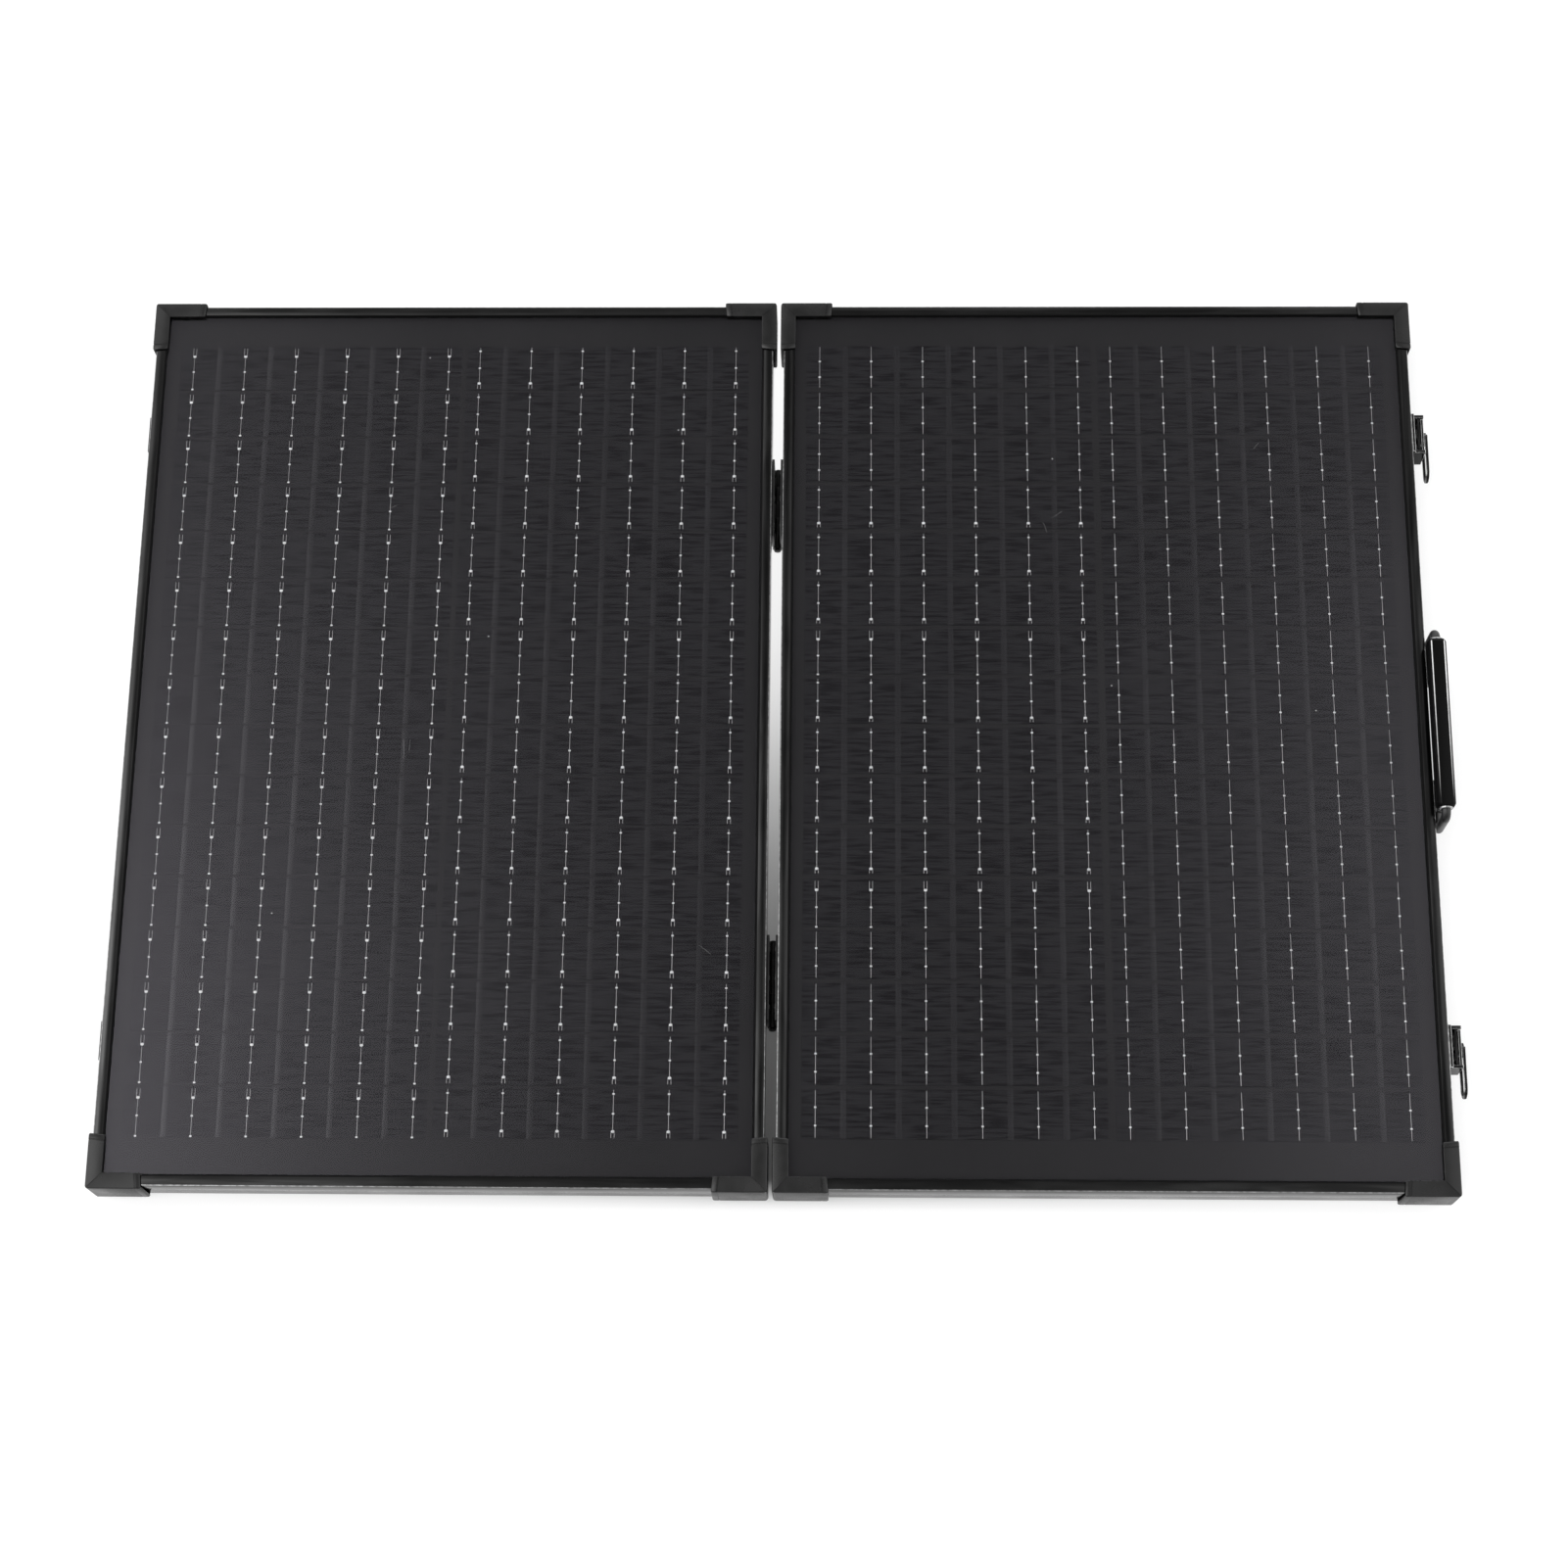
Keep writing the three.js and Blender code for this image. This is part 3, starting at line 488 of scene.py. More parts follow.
def polished_line():
    """A painted highlight: bright metal whose colour fades to dark, in streaks, towards the near end of the
    handle.
    """
    material, graph = new_material("polished_line")
    along = graph.split(graph.place())[1]
    # streaks that break up the painted highlight
    rub = graph.noise(graph.place((1, 0.2, 1)), 260, 4.0, 0.7)
    # the painted highlight fades towards the near end of the handle
    fade = graph.remap(along, -0.052, 0.02, 0.05, 0.8)
    level = graph.math("MULTIPLY", fade, graph.remap(rub, 0.3, 0.6, 0.5, 1.0))
    principled(graph, Base_Color=graph.mix(level, grey(0.01), grey(1.0)), Metallic=1.0, Roughness=0.2)
    return material


def bare_metal(name, base, rough, brush=(1, 1, 1), tint=(1, 1, 1)):
    """Uncoated metal with fine lines. brush stretches them along an axis."""
    material, graph = new_material(name)
    lines = graph.noise(graph.place(brush), 800, 3.0)
    clouds = graph.noise(graph.place(), 90, 3.0)
    principled(
        graph,
        Base_Color=graph.patchy(clouds, grey(base * 0.8, tint), grey(base, tint)),
        Metallic=1.0,
        Roughness=graph.remap(lines, 0.3, 0.7, rough - 0.06, rough + 0.08),
        Normal=graph.bump(lines, 0.2, 0.03),
    )
    return material


COATING_TINT = (0.94, 0.90, 1.0, 1.0)
CLEAR_TINT = (0.94, 0.94, 0.945, 1)


def tempered_glass():
    """Clear glass with a faint surface haze. Only its outer side reflects."""
    material, graph = new_material("tempered_glass")
    haze = graph.noise(graph.place(), 14, 4.0, 0.65)
    wipes = graph.noise(graph.place((5, 60, 1)), 1.0, 3.0, 0.6, 1.2)
    wiped = graph.remap(wipes, 0.45, 0.7, 0, 0.04)
    rough = graph.math("ADD", graph.remap(haze, 0.35, 0.7, 0.03, 0.09), wiped)
    ripple = graph.bump(graph.noise(graph.place(), 9, 1.0), 0.05, 0.6)
    fresnel = graph.node("ShaderNodeFresnel", {"IOR": 1.5, "Normal": ripple}).outputs[0]
    front = graph.math("SUBTRACT", 1.0, graph.node("ShaderNodeNewGeometry").outputs["Backfacing"])
    share = graph.math("MULTIPLY", fresnel, front)
    clear = graph.node("ShaderNodeBsdfTransparent", {"Color": CLEAR_TINT}).outputs[0]
    gloss = {"Color": COATING_TINT, "Roughness": rough, "Normal": ripple}
    coating = graph.node("ShaderNodeBsdfAnisotropic", gloss).outputs[0]
    mixed = graph.node("ShaderNodeMixShader", {0: share, 1: clear, 2: coating}).outputs[0]
    graph.node("ShaderNodeOutputMaterial", {"Surface": mixed})
    return material


CELL_TINT = (0.98, 0.98, 1.05)
FINGER_PITCH = 1.5
TONE_COLUMN_PITCH = 0.1855
TONE_STRIP_PITCH = 0.03254
# a band wave repeats 20 times for each 2 pi of its scale
WAVES_PER_SCALE = 20


def cell_silicon():
    """Textured black silicon with fine printed fingers and small tone changes between strips."""
    material, graph = new_material("cell_silicon")
    strips = graph.place((1 / TONE_COLUMN_PITCH, 1 / TONE_STRIP_PITCH, 0))
    steps = graph.node("ShaderNodeVectorMath", {0: strips}, operation="FLOOR").outputs[0]
    strip_noise = graph.node("ShaderNodeTexWhiteNoise", {"Vector": steps}, noise_dimensions="3D")
    strip_tone = graph.remap(strip_noise.outputs["Value"], 0, 1, 0.9, 1.1)
    clouds = graph.noise(graph.place(), 13, 3.0, 0.5)
    threads = graph.noise(graph.place((50, 540, 1)), 1.0, 1.0, 0.5)
    finger_scale = 2 * math.pi / (WAVES_PER_SCALE * FINGER_PITCH * MM)
    line = graph.remap(graph.wave(graph.place(), finger_scale, "Y", 0.0), 0.7, 1.0, 0.0, 1.0)
    tone = graph.math("ADD", strip_tone, graph.remap(clouds, 0.3, 0.7, -0.12, 0.12))
    tone = graph.math("MULTIPLY", tone, graph.remap(threads, 0.36, 0.64, 0.3, 1.7))
    base = graph.mix(tone, grey(0.0), grey(0.0115, CELL_TINT))
    principled(
        graph,
        Base_Color=graph.mix(graph.math("MULTIPLY", line, 0.15), base, grey(0.04)),
        Roughness=graph.remap(threads, 0.3, 0.7, 0.3, 0.5),
        Specular_IOR_Level=graph.remap(threads, 0.38, 0.62, 0.02, 0.08),
    )
    return material


def sheet_plastic(name, base, rough, weave, depth, tint=(1, 1, 1), gloss=0.5):
    """A thin plastic sheet with a faint woven emboss."""
    material, graph = new_material(name)
    place = graph.place()
    threads = graph.math("MULTIPLY", graph.wave(place, weave, "X", 0.4), graph.wave(place, weave, "Y", 0.4))
    clouds = graph.noise(place, 8, 4.0, 0.6)
    colour = graph.patchy(clouds, grey(base * 0.85, tint), grey(base * 1.15, tint))
    principled(
        graph,
        Base_Color=graph.mix(graph.math("MULTIPLY", threads, 0.3), colour, grey(base * 1.6, tint)),
        Roughness=graph.remap(clouds, 0.3, 0.7, rough - 0.05, rough + 0.07),
        Normal=graph.bump(threads, 0.3, depth),
        Specular_IOR_Level=gloss,
    )
    return material


RUBBER_BASE = 0.012


def soft_rubber():
    """Matte black rubber with some dust in its grain."""
    material, graph = new_material("rubber")
    place = graph.place()
    grain = graph.noise(place, 1100, 3.0, 0.65)
    dust = graph.noise(place, 120, 5.0, 0.7)
    dusty = grey(RUBBER_BASE * 3.5, (1.05, 1.0, 0.93))
    principled(
        graph,
        Base_Color=graph.mix(graph.remap(dust, 0.5, 0.75, 0, 0.5), grey(RUBBER_BASE), dusty),
        Roughness=graph.remap(dust, 0.3, 0.7, 0.72, 0.9),
        Normal=graph.bump(grain, 0.5, 0.06),
        Specular_IOR_Level=0.3,
    )
    return material


def liquid_crystal():
    """A blank grey-green display behind a clear window."""
    material, graph = new_material("liquid_crystal")
    checks = {
        "Vector": graph.place(),
        "Color1": (0.150, 0.185, 0.120, 1),
        "Color2": (0.142, 0.176, 0.114, 1),
        "Scale": 2400,
    }
    cells = graph.node("ShaderNodeTexChecker", checks).outputs["Color"]
    shade = graph.noise(graph.place(), 60, 2.0)
    principled(
        graph,
        Base_Color=graph.mix(graph.remap(shade, 0.3, 0.7, 0.0, 0.35), cells, (0.10, 0.13, 0.085, 1)),
        Roughness=graph.remap(shade, 0.3, 0.7, 0.3, 0.42),
        Coat_Weight=1.0,
        Coat_Roughness=0.04,
    )
    return material


# the highest level that a curve may reach
CURVE_TOP = 3.0


def level_curve(graph, value, levels):
    """A smooth curve through (value, level) pairs, for a value from -1 to 1."""
    made = graph.node("ShaderNodeFloatCurve", {"Value": graph.math("MULTIPLY_ADD", value, 0.5, 0.5)})
    curve = made.mapping.curves[0]
    for index, (place, level) in ((0, levels[0]), (1, levels[-1])):
        curve.points[index].location = ((place + 1) / 2, level / CURVE_TOP)
    for place, level in levels[1:-1]:
        curve.points.new((place + 1) / 2, level / CURVE_TOP)
    made.mapping.update()
    return graph.math("MULTIPLY", made.outputs[0], CURVE_TOP)


FLOOR_GLOW = 0.68
# painted shade under the panels: what is left of the floor's glow there, from the near end (-1) to the far
# end (1)
PAINTED_SHADE_LEVELS = (
    (-1.0, 0.035), (-0.83, 0.04), (-0.7, 0.055), (-0.33, 0.18),
    (-0.13, 0.37), (0.2, 0.78), (0.7, 0.92), (1.0, 0.95),
)
# how far the painted shade under the panels reaches, in metres
PAINTED_SHADE_HALF_WIDTH = 0.37
PAINTED_SHADE_HALF_LENGTH = 0.3


def floor_material():
    """A pale floor that glows evenly, with a painted shade under the panels that dims the glow most along the
    gap between them and towards their near end.
    """
    material, graph = new_material("pale_floor")
    clouds = graph.noise(graph.place(), 3, 3.0)
    parts = graph.split(graph.place())
    along = graph.math("DIVIDE", parts[1], PAINTED_SHADE_HALF_LENGTH)
    in_length = graph.remap(graph.math("ABSOLUTE", along), 0.92, 0.98, 1, 0)
    in_width = graph.remap(graph.math("ABSOLUTE", parts[0]), 0.02, PAINTED_SHADE_HALF_WIDTH, 1, 0)
    # painted shade: where the floor's glow is dimmed under the panels
    painted_shade = graph.math("MULTIPLY", in_length, in_width)
    principled(
        graph,
        Base_Color=graph.patchy(clouds, grey(0.41), grey(0.43)),
        Roughness=graph.remap(clouds, 0.3, 0.7, 0.75, 0.85),
        Specular_IOR_Level=0.1,
        Emission_Color=grey(1.0),
        Emission_Strength=graph.blend(painted_shade, FLOOR_GLOW, level_curve(graph, along, PAINTED_SHADE_LEVELS)),
    )
    return material


ANODISED_X = anodised_metal("anodised_along_x", 0)
ANODISED_Y = anodised_metal("anodised_along_y", 1)
ANODISED_RUBBED = anodised_metal("anodised_rubbed", 1, polish=(0.5, 0.85))
FRAME_EDGE = worn_edge_and_painted_highlight("frame_edge", 0.38, 1.0, 0.2)
CAP_PLASTIC = grained_plastic("cap_plastic", 0.008, 0.25, 1300, 0.025, 0.25, (1, 1, 1), 0.48, 0.12)
CASE_PLASTIC = grained_plastic("case_plastic", 0.014, 0.42, 1500, 0.05)
CONTROLLER_PLASTIC = grained_plastic("controller_plastic", 0.020, 0.45, 1200, 0.05)
GLOSS_PLASTIC = grained_plastic("grip_plastic", 0.003, 0.15, 500, 0.015, 0.15, (1, 1, 1), 0.1, 0.1)
TERMINAL_PLASTIC = grained_plastic("terminal_plastic", 0.09, 0.4, 900, 0.03, 0.15, (0.35, 1.0, 0.45))
GLASS = tempered_glass()
SILICON = cell_silicon()
CELL_BAND = sheet_plastic("cell_band", 0.0135, 0.16, 900, 0.002, CELL_TINT, 0.3)
ENCAPSULANT = sheet_plastic("encapsulant", 0.0152, 0.35, 260, 0.01, (1, 1, 1), 0.04)
BACKSHEET = sheet_plastic("backsheet", 0.012, 0.5, 320, 0.04)
WIRE_TIN = bare_metal("wire_tin", 0.46, 0.3, (20, 1, 1))
PAD_SILVER = bare_metal("pad_silver", 0.85, 0.42)
STAINLESS = bare_metal("stainless", 0.55, 0.24, (1, 14, 1))
BRASS = bare_metal("brass", 0.6, 0.25, (1, 1, 1), (1.0, 0.72, 0.35))
BLACK_STEEL = coated_steel("black_steel", 0.008, 0.34, 0.0)
BLACK_SCREW = coated_steel("black_screw", 0.012, 0.26, 0.2)
LATCH_STEEL = coated_steel("latch_steel", 0.004, 0.12, 0.0, (1, 0.3, 1), 0.06, 0.25, 0.25)
LATCH_EDGE = worn_edge_and_painted_highlight("latch_edge", 0.5, 1.0, 0.22)
# near-white edges on the latch base: a painted highlight
LATCH_PAINTED_HIGHLIGHT = worn_edge_and_painted_highlight("latch_line", 0.85, 0.2, 0.3)
STEEL_EDGE = worn_edge_and_painted_highlight("steel_edge", 0.12, 1.0, 0.25)
# a painted highlight along the edges of the grip's flat top
PAINTED_HIGHLIGHT_LINE = polished_line()
TUBE_PAINT = coated_steel("tube_paint", 0.010, 0.3, 0.1, (1, 0.4, 1), 0.04)
RUBBER = soft_rubber()
SEAL = sheet_plastic("seal", 0.002, 0.5, 700, 0.01, (1, 1, 1), 0.08)
LCD = liquid_crystal()
DUST = grained_plastic("dust", 0.35, 0.9, 900, 0.05)


# ---------------------------------------------------------------- pieces
def make_piece(name, shape, material, body, replaces=(), crease=35):
    """Turns a Shape into a piece that rides on a body, smooth except at edges sharper than the crease."""
    mesh = bpy.data.meshes.new(name)
    bm = shape.bm
    bmesh.ops.scale(bm, vec=(MM, MM, MM), verts=bm.verts)
    bmesh.ops.recalc_face_normals(bm, faces=bm.faces)
    for face in bm.faces:
        face.smooth = True
    bm.to_mesh(mesh)
    bm.free()
    mesh.set_sharp_from_angle(angle=math.radians(crease))
    mesh.materials.append(material)
    piece = bpy.data.objects.new(name, mesh)
    bpy.context.collection.objects.link(piece)
    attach(piece, body)
    if replaces:
        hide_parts(*replaces)
    return piece


def smoothing_group():
    """A geometry node group that shades smooth, except across edges sharper than about 32 degrees."""
    group = bpy.data.node_groups.new("shade_by_angle", "GeometryNodeTree")
    group.interface.new_socket("Geometry", in_out="INPUT", socket_type="NodeSocketGeometry")
    group.interface.new_socket("Geometry", in_out="OUTPUT", socket_type="NodeSocketGeometry")
    graph = Graph(group)
    source = graph.node("NodeGroupInput").outputs[0]
    bare = graph.node("GeometryNodeRemoveAttribute", {"Geometry": source, "Name": "custom_normal"}).outputs[0]
    faces = graph.node("GeometryNodeSetShadeSmooth", {"Geometry": bare, "Shade Smooth": True}, domain="FACE")
    angle = graph.node("GeometryNodeInputMeshEdgeAngle").outputs["Unsigned Angle"]
    gentle = graph.node("ShaderNodeMath", {0: angle, 1: math.radians(32)}, operation="LESS_THAN").outputs[0]
    edges = graph.node(
        "GeometryNodeSetShadeSmooth",
        {"Geometry": faces.outputs[0], "Shade Smooth": gentle},
        domain="EDGE",
    )
    graph.node("NodeGroupOutput", {0: edges.outputs[0]})
    return group


SMOOTHING = smoothing_group()


def dress(nodes, material, edge=0.3, edge_material=None, segments=2):
    """Gives CAD nodes a finished material and, with edge above 0, small rounded edges."""
    for name in nodes:
        node = frame["nodes"][name]
        node.material_slots[0].material = material
        if edge == 0:
            continue
        weld = node.modifiers.new("weld", "WELD")
        weld.merge_threshold = 0.002 * MM
        bevel = node.modifiers.new("edges", "BEVEL")
        bevel.width = edge * MM
        bevel.segments = segments
        bevel.limit_method = "ANGLE"
        bevel.angle_limit = math.radians(34)
        bevel.harden_normals = False
        if edge_material is not None:
            node.data.materials.append(edge_material)
            bevel.material = 1
        smooth = node.modifiers.new("shading", "NODES")
        smooth.node_group = SMOOTHING


# ---------------------------------------------------------------- camera, light and floor
SENSOR_WIDTH = 36
CAMERA_LENS = 69.7
CAMERA_SHIFT = (0.0084, -0.0059)
CAMERA_PLACE = (0.0422, -0.6122, 1.8032)
CAMERA_TURN = (18.183, 1.344, 0.607)


def make_camera():
    data = bpy.data.cameras.new("camera")
    data.sensor_width = SENSOR_WIDTH
    data.lens = CAMERA_LENS
    data.shift_x, data.shift_y = CAMERA_SHIFT
    data.clip_start = 0.05
    data.clip_end = 50
    camera = bpy.data.objects.new("camera", data)
    camera.location = CAMERA_PLACE
    camera.rotation_euler = Euler([math.radians(angle) for angle in CAMERA_TURN], "XYZ")
    bpy.context.collection.objects.link(camera)
    bpy.context.scene.camera = camera


# brightness of the ceiling across the room, from the far left to the far right
CEILING_LEVELS = (
    (-1.0, 1.3), (-0.6, 1.7), (-0.42, 2.3), (-0.3, 2.3), (-0.25, 1.55), (-0.21, 1.12), (-0.165, 0.65),
    (-0.125, 0.365), (-0.08, 0.15), (-0.045, 0.07), (0.0, 0.01), (0.04, 0.0), (0.08, 0.09), (0.12, 0.235),
    (0.155, 0.46), (0.19, 0.62), (0.3, 0.8), (0.5, 0.9), (1.0, 1.0),
)
# how much of that is left towards the back of the room, on its left and on its right
LEFT_DEPTH_LEVELS = (
    (-1.0, 1.0), (0.22, 1.0), (0.29, 0.78), (0.365, 0.47), (0.43, 0.31), (0.6, 0.31), (1.0, 0.5),
)
RIGHT_DEPTH_LEVELS = (
    (-1.0, 1.0), (0.22, 1.0), (0.29, 0.98), (0.365, 0.75), (0.43, 0.4), (0.6, 0.36), (1.0, 0.5),
)
# where its left half meets its right half, and its lowest brightness
CEILING_MIDDLE = 0.04
CEILING_FLOOR = 0.28


def make_world():
    """A pale studio: bright walls, a ceiling that is dark straight above, and a dark near side."""
    world = bpy.data.worlds.new("studio")
    bpy.context.scene.world = world
    world.use_nodes = True
    graph = Graph(world.node_tree)
    direction = graph.node("ShaderNodeTexCoord").outputs["Generated"]
    across, along, up = graph.split(direction)
    on_right = graph.math("GREATER_THAN", across, CEILING_MIDDLE)
    on_left = graph.math("SUBTRACT", 1.0, on_right)
    left_depth = graph.math("MULTIPLY", level_curve(graph, along, LEFT_DEPTH_LEVELS), on_left)
    right_depth = graph.math("MULTIPLY", level_curve(graph, along, RIGHT_DEPTH_LEVELS), on_right)
    depth = graph.math("ADD", left_depth, right_depth)
    glow = graph.math("MULTIPLY", level_curve(graph, across, CEILING_LEVELS), depth)
    overhead = graph.math("ADD", glow, CEILING_FLOOR)
    walls = graph.remap(across, -1.0, 1.0, 1.35, 1.15)
    walls = graph.math("MULTIPLY", walls, graph.remap(along, -0.9, -0.4, 0.2, 1.0))
    strength = graph.blend(graph.remap(up, 0.6, 0.86, 0.0, 1.0), walls, overhead)
    background = graph.node("ShaderNodeBackground", {"Color": grey(1.0), "Strength": strength})
    graph.node("ShaderNodeOutputWorld", {0: background.outputs[0]})


# each softbox's place, width, height and power
SOFTBOXES = {
    "left_softbox": ((-2.6, -0.4, 1.8), 1.6, 2.0, 12),
    "back_softbox": ((0.6, 3.2, 1.6), 2.4, 1.0, 12),
    "right_softbox": ((2.8, 0.4, 1.5), 1.4, 2.0, 9),
}


def make_softbox(name, place, width, height, power):
    """A rectangular light that shines at the middle of the floor."""
    data = bpy.data.lights.new(name, "AREA")
    data.energy = power
    data.shape = "RECTANGLE"
    data.size = width
    data.size_y = height
    light = bpy.data.objects.new(name, data)
    light.location = place
    light.rotation_euler = Vector(place).to_track_quat("Z", "Y").to_euler()
    bpy.context.collection.objects.link(light)


FLOOR_RADIUS = 9.0


def make_floor():
    """A wide pale floor with a soft rim."""
    shape = Shape()
    profile = ((-0.01, FLOOR_RADIUS), (0.0, FLOOR_RADIUS - 0.02))
    shape.turned(Vector((0, 0, 0)), Z, profile, 96)
    mesh = bpy.data.meshes.new("floor")
    bmesh.ops.recalc_face_normals(shape.bm, faces=shape.bm.faces)
    shape.bm.to_mesh(mesh)
    shape.bm.free()
    mesh.materials.append(floor_material())
    floor = bpy.data.objects.new("floor", mesh)
    bpy.context.collection.objects.link(floor)


def make_studio():
    make_camera()
    make_world()
    for name, settings in SOFTBOXES.items():
        make_softbox(name, *settings)
    make_floor()
    bpy.context.scene.view_settings.view_transform = "Standard"


# ---------------------------------------------------------------- frames and corner caps
LIP_WIDTH = 6.3
GLASS_LEVEL = 23.4
BEAD_WIDTH = 0.9
BEAD_HEIGHT = 0.55
FRAME_DEPTH = 25.0


def make_frames():
    for panel in PANELS:
        dress([f"{panel.name}_rail_near", f"{panel.name}_rail_far"], ANODISED_X, 0.5, FRAME_EDGE)
        dress([f"{panel.name}_rail_inner"], ANODISED_Y, 0.5, FRAME_EDGE)
        outer_metal = ANODISED_RUBBED if panel is LEFT else ANODISED_Y
        dress([f"{panel.name}_rail_outer"], outer_metal, 0.5, FRAME_EDGE)
        bead = Shape()
        low = GLASS_LEVEL + 0.02
        top = FRAME_DEPTH + 0.03
        section = [
            (LIP_WIDTH - 0.75, top - 0.12), (LIP_WIDTH - 0.02, top - 0.6), (LIP_WIDTH - 0.02, low),
            (LIP_WIDTH + BEAD_WIDTH, low), (LIP_WIDTH + BEAD_WIDTH * 0.85, low + 0.2),
            (LIP_WIDTH + BEAD_WIDTH * 0.45, low + BEAD_HEIGHT), (LIP_WIDTH + 0.2, top - 0.35),
            (LIP_WIDTH - 0.1, top - 0.03), (LIP_WIDTH - 0.55, top),
        ]
        corners = [panel.corner(outer, far) for outer, far in ((0, 0), (1, 0), (1, 1), (0, 1))]
        bead.picture_frame(corners, section)
        make_piece(f"{panel.name}_glass_bead", bead, SEAL, panel.body)


CAP_PROUD = 2.2
CAP_REACH = 7.4
CAP_ARM = 31.0
CAP_FIT = 0.1
CAP_PLATE = 1.3
CAP_CHAMFER = 1.2
CAP_SEAM = 0.13
CAP_SEAM_SHRINK = 0.22
CAP_GROOVE_FROM_END = 3.5
FOOT_ALONG = 20.0
FOOT_ACROSS = 3.4


def cap_section():
    """The C-shaped section of a cap's arm, as (distance in from the frame's side, height)."""
    low, high = -CAP_FIT - CAP_PLATE, FRAME_DEPTH + CAP_FIT + CAP_PLATE
    corners = [
        (-CAP_PROUD, low), (CAP_REACH, low), (CAP_REACH, -CAP_FIT), (-CAP_FIT, -CAP_FIT),
        (-CAP_FIT, FRAME_DEPTH + CAP_FIT), (CAP_REACH, FRAME_DEPTH + CAP_FIT), (CAP_REACH, high),
        (-CAP_PROUD, high),
    ]
    return rounded_outline(corners, [0.9, 0.4, 0.2, 0, 0, 0.2, 0.4, 0.9], 4)


def cap_arm(shape, place):
    """One arm of a cap, from the mitre to its end. place takes (along, inwards, height)."""
    section = cap_section()

    def end_station(d, along):
        trimmed = max(0.0, d - (CAP_REACH - CAP_CHAMFER)) + max(0.0, CAP_CHAMFER * 0.5 - CAP_PROUD - d)
        return along - trimmed

    def ring(along, sink):
        points = shrunk(section, sink) if sink else section
        return [place(end_station(d, along), max(d, -CAP_PROUD), w) for d, w in points]

    mitre = []
    past_chamfer = []
    for d, w in section:
        edge = max(d, -CAP_PROUD + CAP_CHAMFER / 2)
        mitre.append(place(edge + CAP_SEAM, edge, w))
        start = max(d, -CAP_PROUD + CAP_CHAMFER)
        past_chamfer.append(place(start + CAP_SEAM + 0.35, d, w))
    seam = []
    for d, w in shrunk(section, CAP_SEAM_SHRINK):
        edge = max(d, -CAP_PROUD + CAP_CHAMFER / 2)
        seam.append(place(edge + CAP_SEAM * 0.6, edge, w))
    groove = CAP_ARM - CAP_GROOVE_FROM_END
    rings = [seam, mitre_step(mitre, seam), past_chamfer]
    for along, sink in ((groove - 0.35, 0), (groove - 0.15, 0.22), (groove + 0.15, 0.22), (groove + 0.35, 0)):
        rings.append(ring(along, sink))
    for along, sink in ((CAP_ARM - 0.6, 0), (CAP_ARM - 0.18, 0.18), (CAP_ARM, 0.5)):
        rings.append(ring(along, sink))
    shape.loft(rings)


def turned_about(corner):
    """The same corner with its two directions exchanged."""
    return lambda along, inward, w: corner(inward, along, w)


def mitre_step(mitre, seam):
    """A ring a little beyond the seam, so that the seam's edges turn in softly."""
    return [point + (point - start) * 0.15 for point, start in zip(mitre, seam)]


def make_caps():
    for panel in PANELS:
        for far, y_name in ((0, "near"), (1, "far")):
            for outer, x_name in ((0, "inner"), (1, "outer")):
                node = f"{panel.name}_cap_{y_name}_{x_name}"
                corner = panel.corner(outer, far)
                cap = Shape()
                cap_arm(cap, corner)
                cap_arm(cap, turned_about(corner))
                make_piece(node + "_shell", cap, CAP_PLASTIC, panel.body, [node], 40)
                along, across = (FOOT_ALONG, FOOT_ACROSS) if panel is RIGHT else (FOOT_ACROSS, FOOT_ALONG)
                top = corner(along, across, -CAP_FIT - CAP_PLATE * 0.6)
                profile = (
                    (0.0, 3.6), (1.0, 3.6), (1.35, 3.35), (1.7, 3.35), (2.0, 3.5), (5.6, 3.2),
                    (6.4, 3.0), (6.95, 2.5), (top.z - 0.02, 1.9),
                )
                foot = Shape()
                foot.turned(top, -Z, profile, 28)
                make_piece(node + "_foot", foot, RUBBER, panel.body, [node])


# ---------------------------------------------------------------- laminate
COLUMN_WIDTH = 182.0
WIRES = 6
WIRE_PITCH = 33.09
STRIPS = 16
STRIP_PITCH = 32.543
FORK_HALF_WIDTH = 0.95
WIRE_MARGIN = 0.8
FORK_MARGIN = 1.3
SHEET_LEVEL = 19.6
STRIP_LEVEL = 19.85
SMALL_PAD = (0.82, 0.62)
BIG_PAD = (1.1, 0.9)

# where the pads sit on a strip, as shares of its pitch from the far side, and the fork beside the big one
LEADING = ((0.215, BIG_PAD), (0.55, SMALL_PAD), (0.93, SMALL_PAD))
TRAILING = ((0.10, SMALL_PAD), (0.47, SMALL_PAD), (0.80, BIG_PAD))
PAIR = ((0.34, SMALL_PAD), (0.68, SMALL_PAD))


class Column:
    """A column of cell strips: its middle, its far edge, the gap between strips and each strip's pads."""

    def __init__(self, middle, far_edge, gap, patterns):
        self.middle = middle
        self.far_edge = far_edge
        self.strip_length = STRIP_PITCH - gap
        self.patterns = patterns


def repeated(pattern, changes=None):
    patterns = [pattern] * STRIPS
    for row, other in (changes or {}).items():
        patterns[row] = other
    return patterns


MIXED = dict.fromkeys((3, 4, 5, 7, 8, 9, 10), TRAILING) | dict.fromkeys((6, 11), LEADING)
COLUMNS = {
    "left": [
        Column(106.7, 261.6, 1.4, repeated(TRAILING, {6: LEADING})),
        Column(292.2, 261.6, 1.4, repeated(LEADING)),
    ],
    "right": [
        Column(105.7, 262.0, 2.3, repeated(PAIR, MIXED)),
        Column(292.2, 262.0, 2.3, repeated(PAIR)),
    ],
}


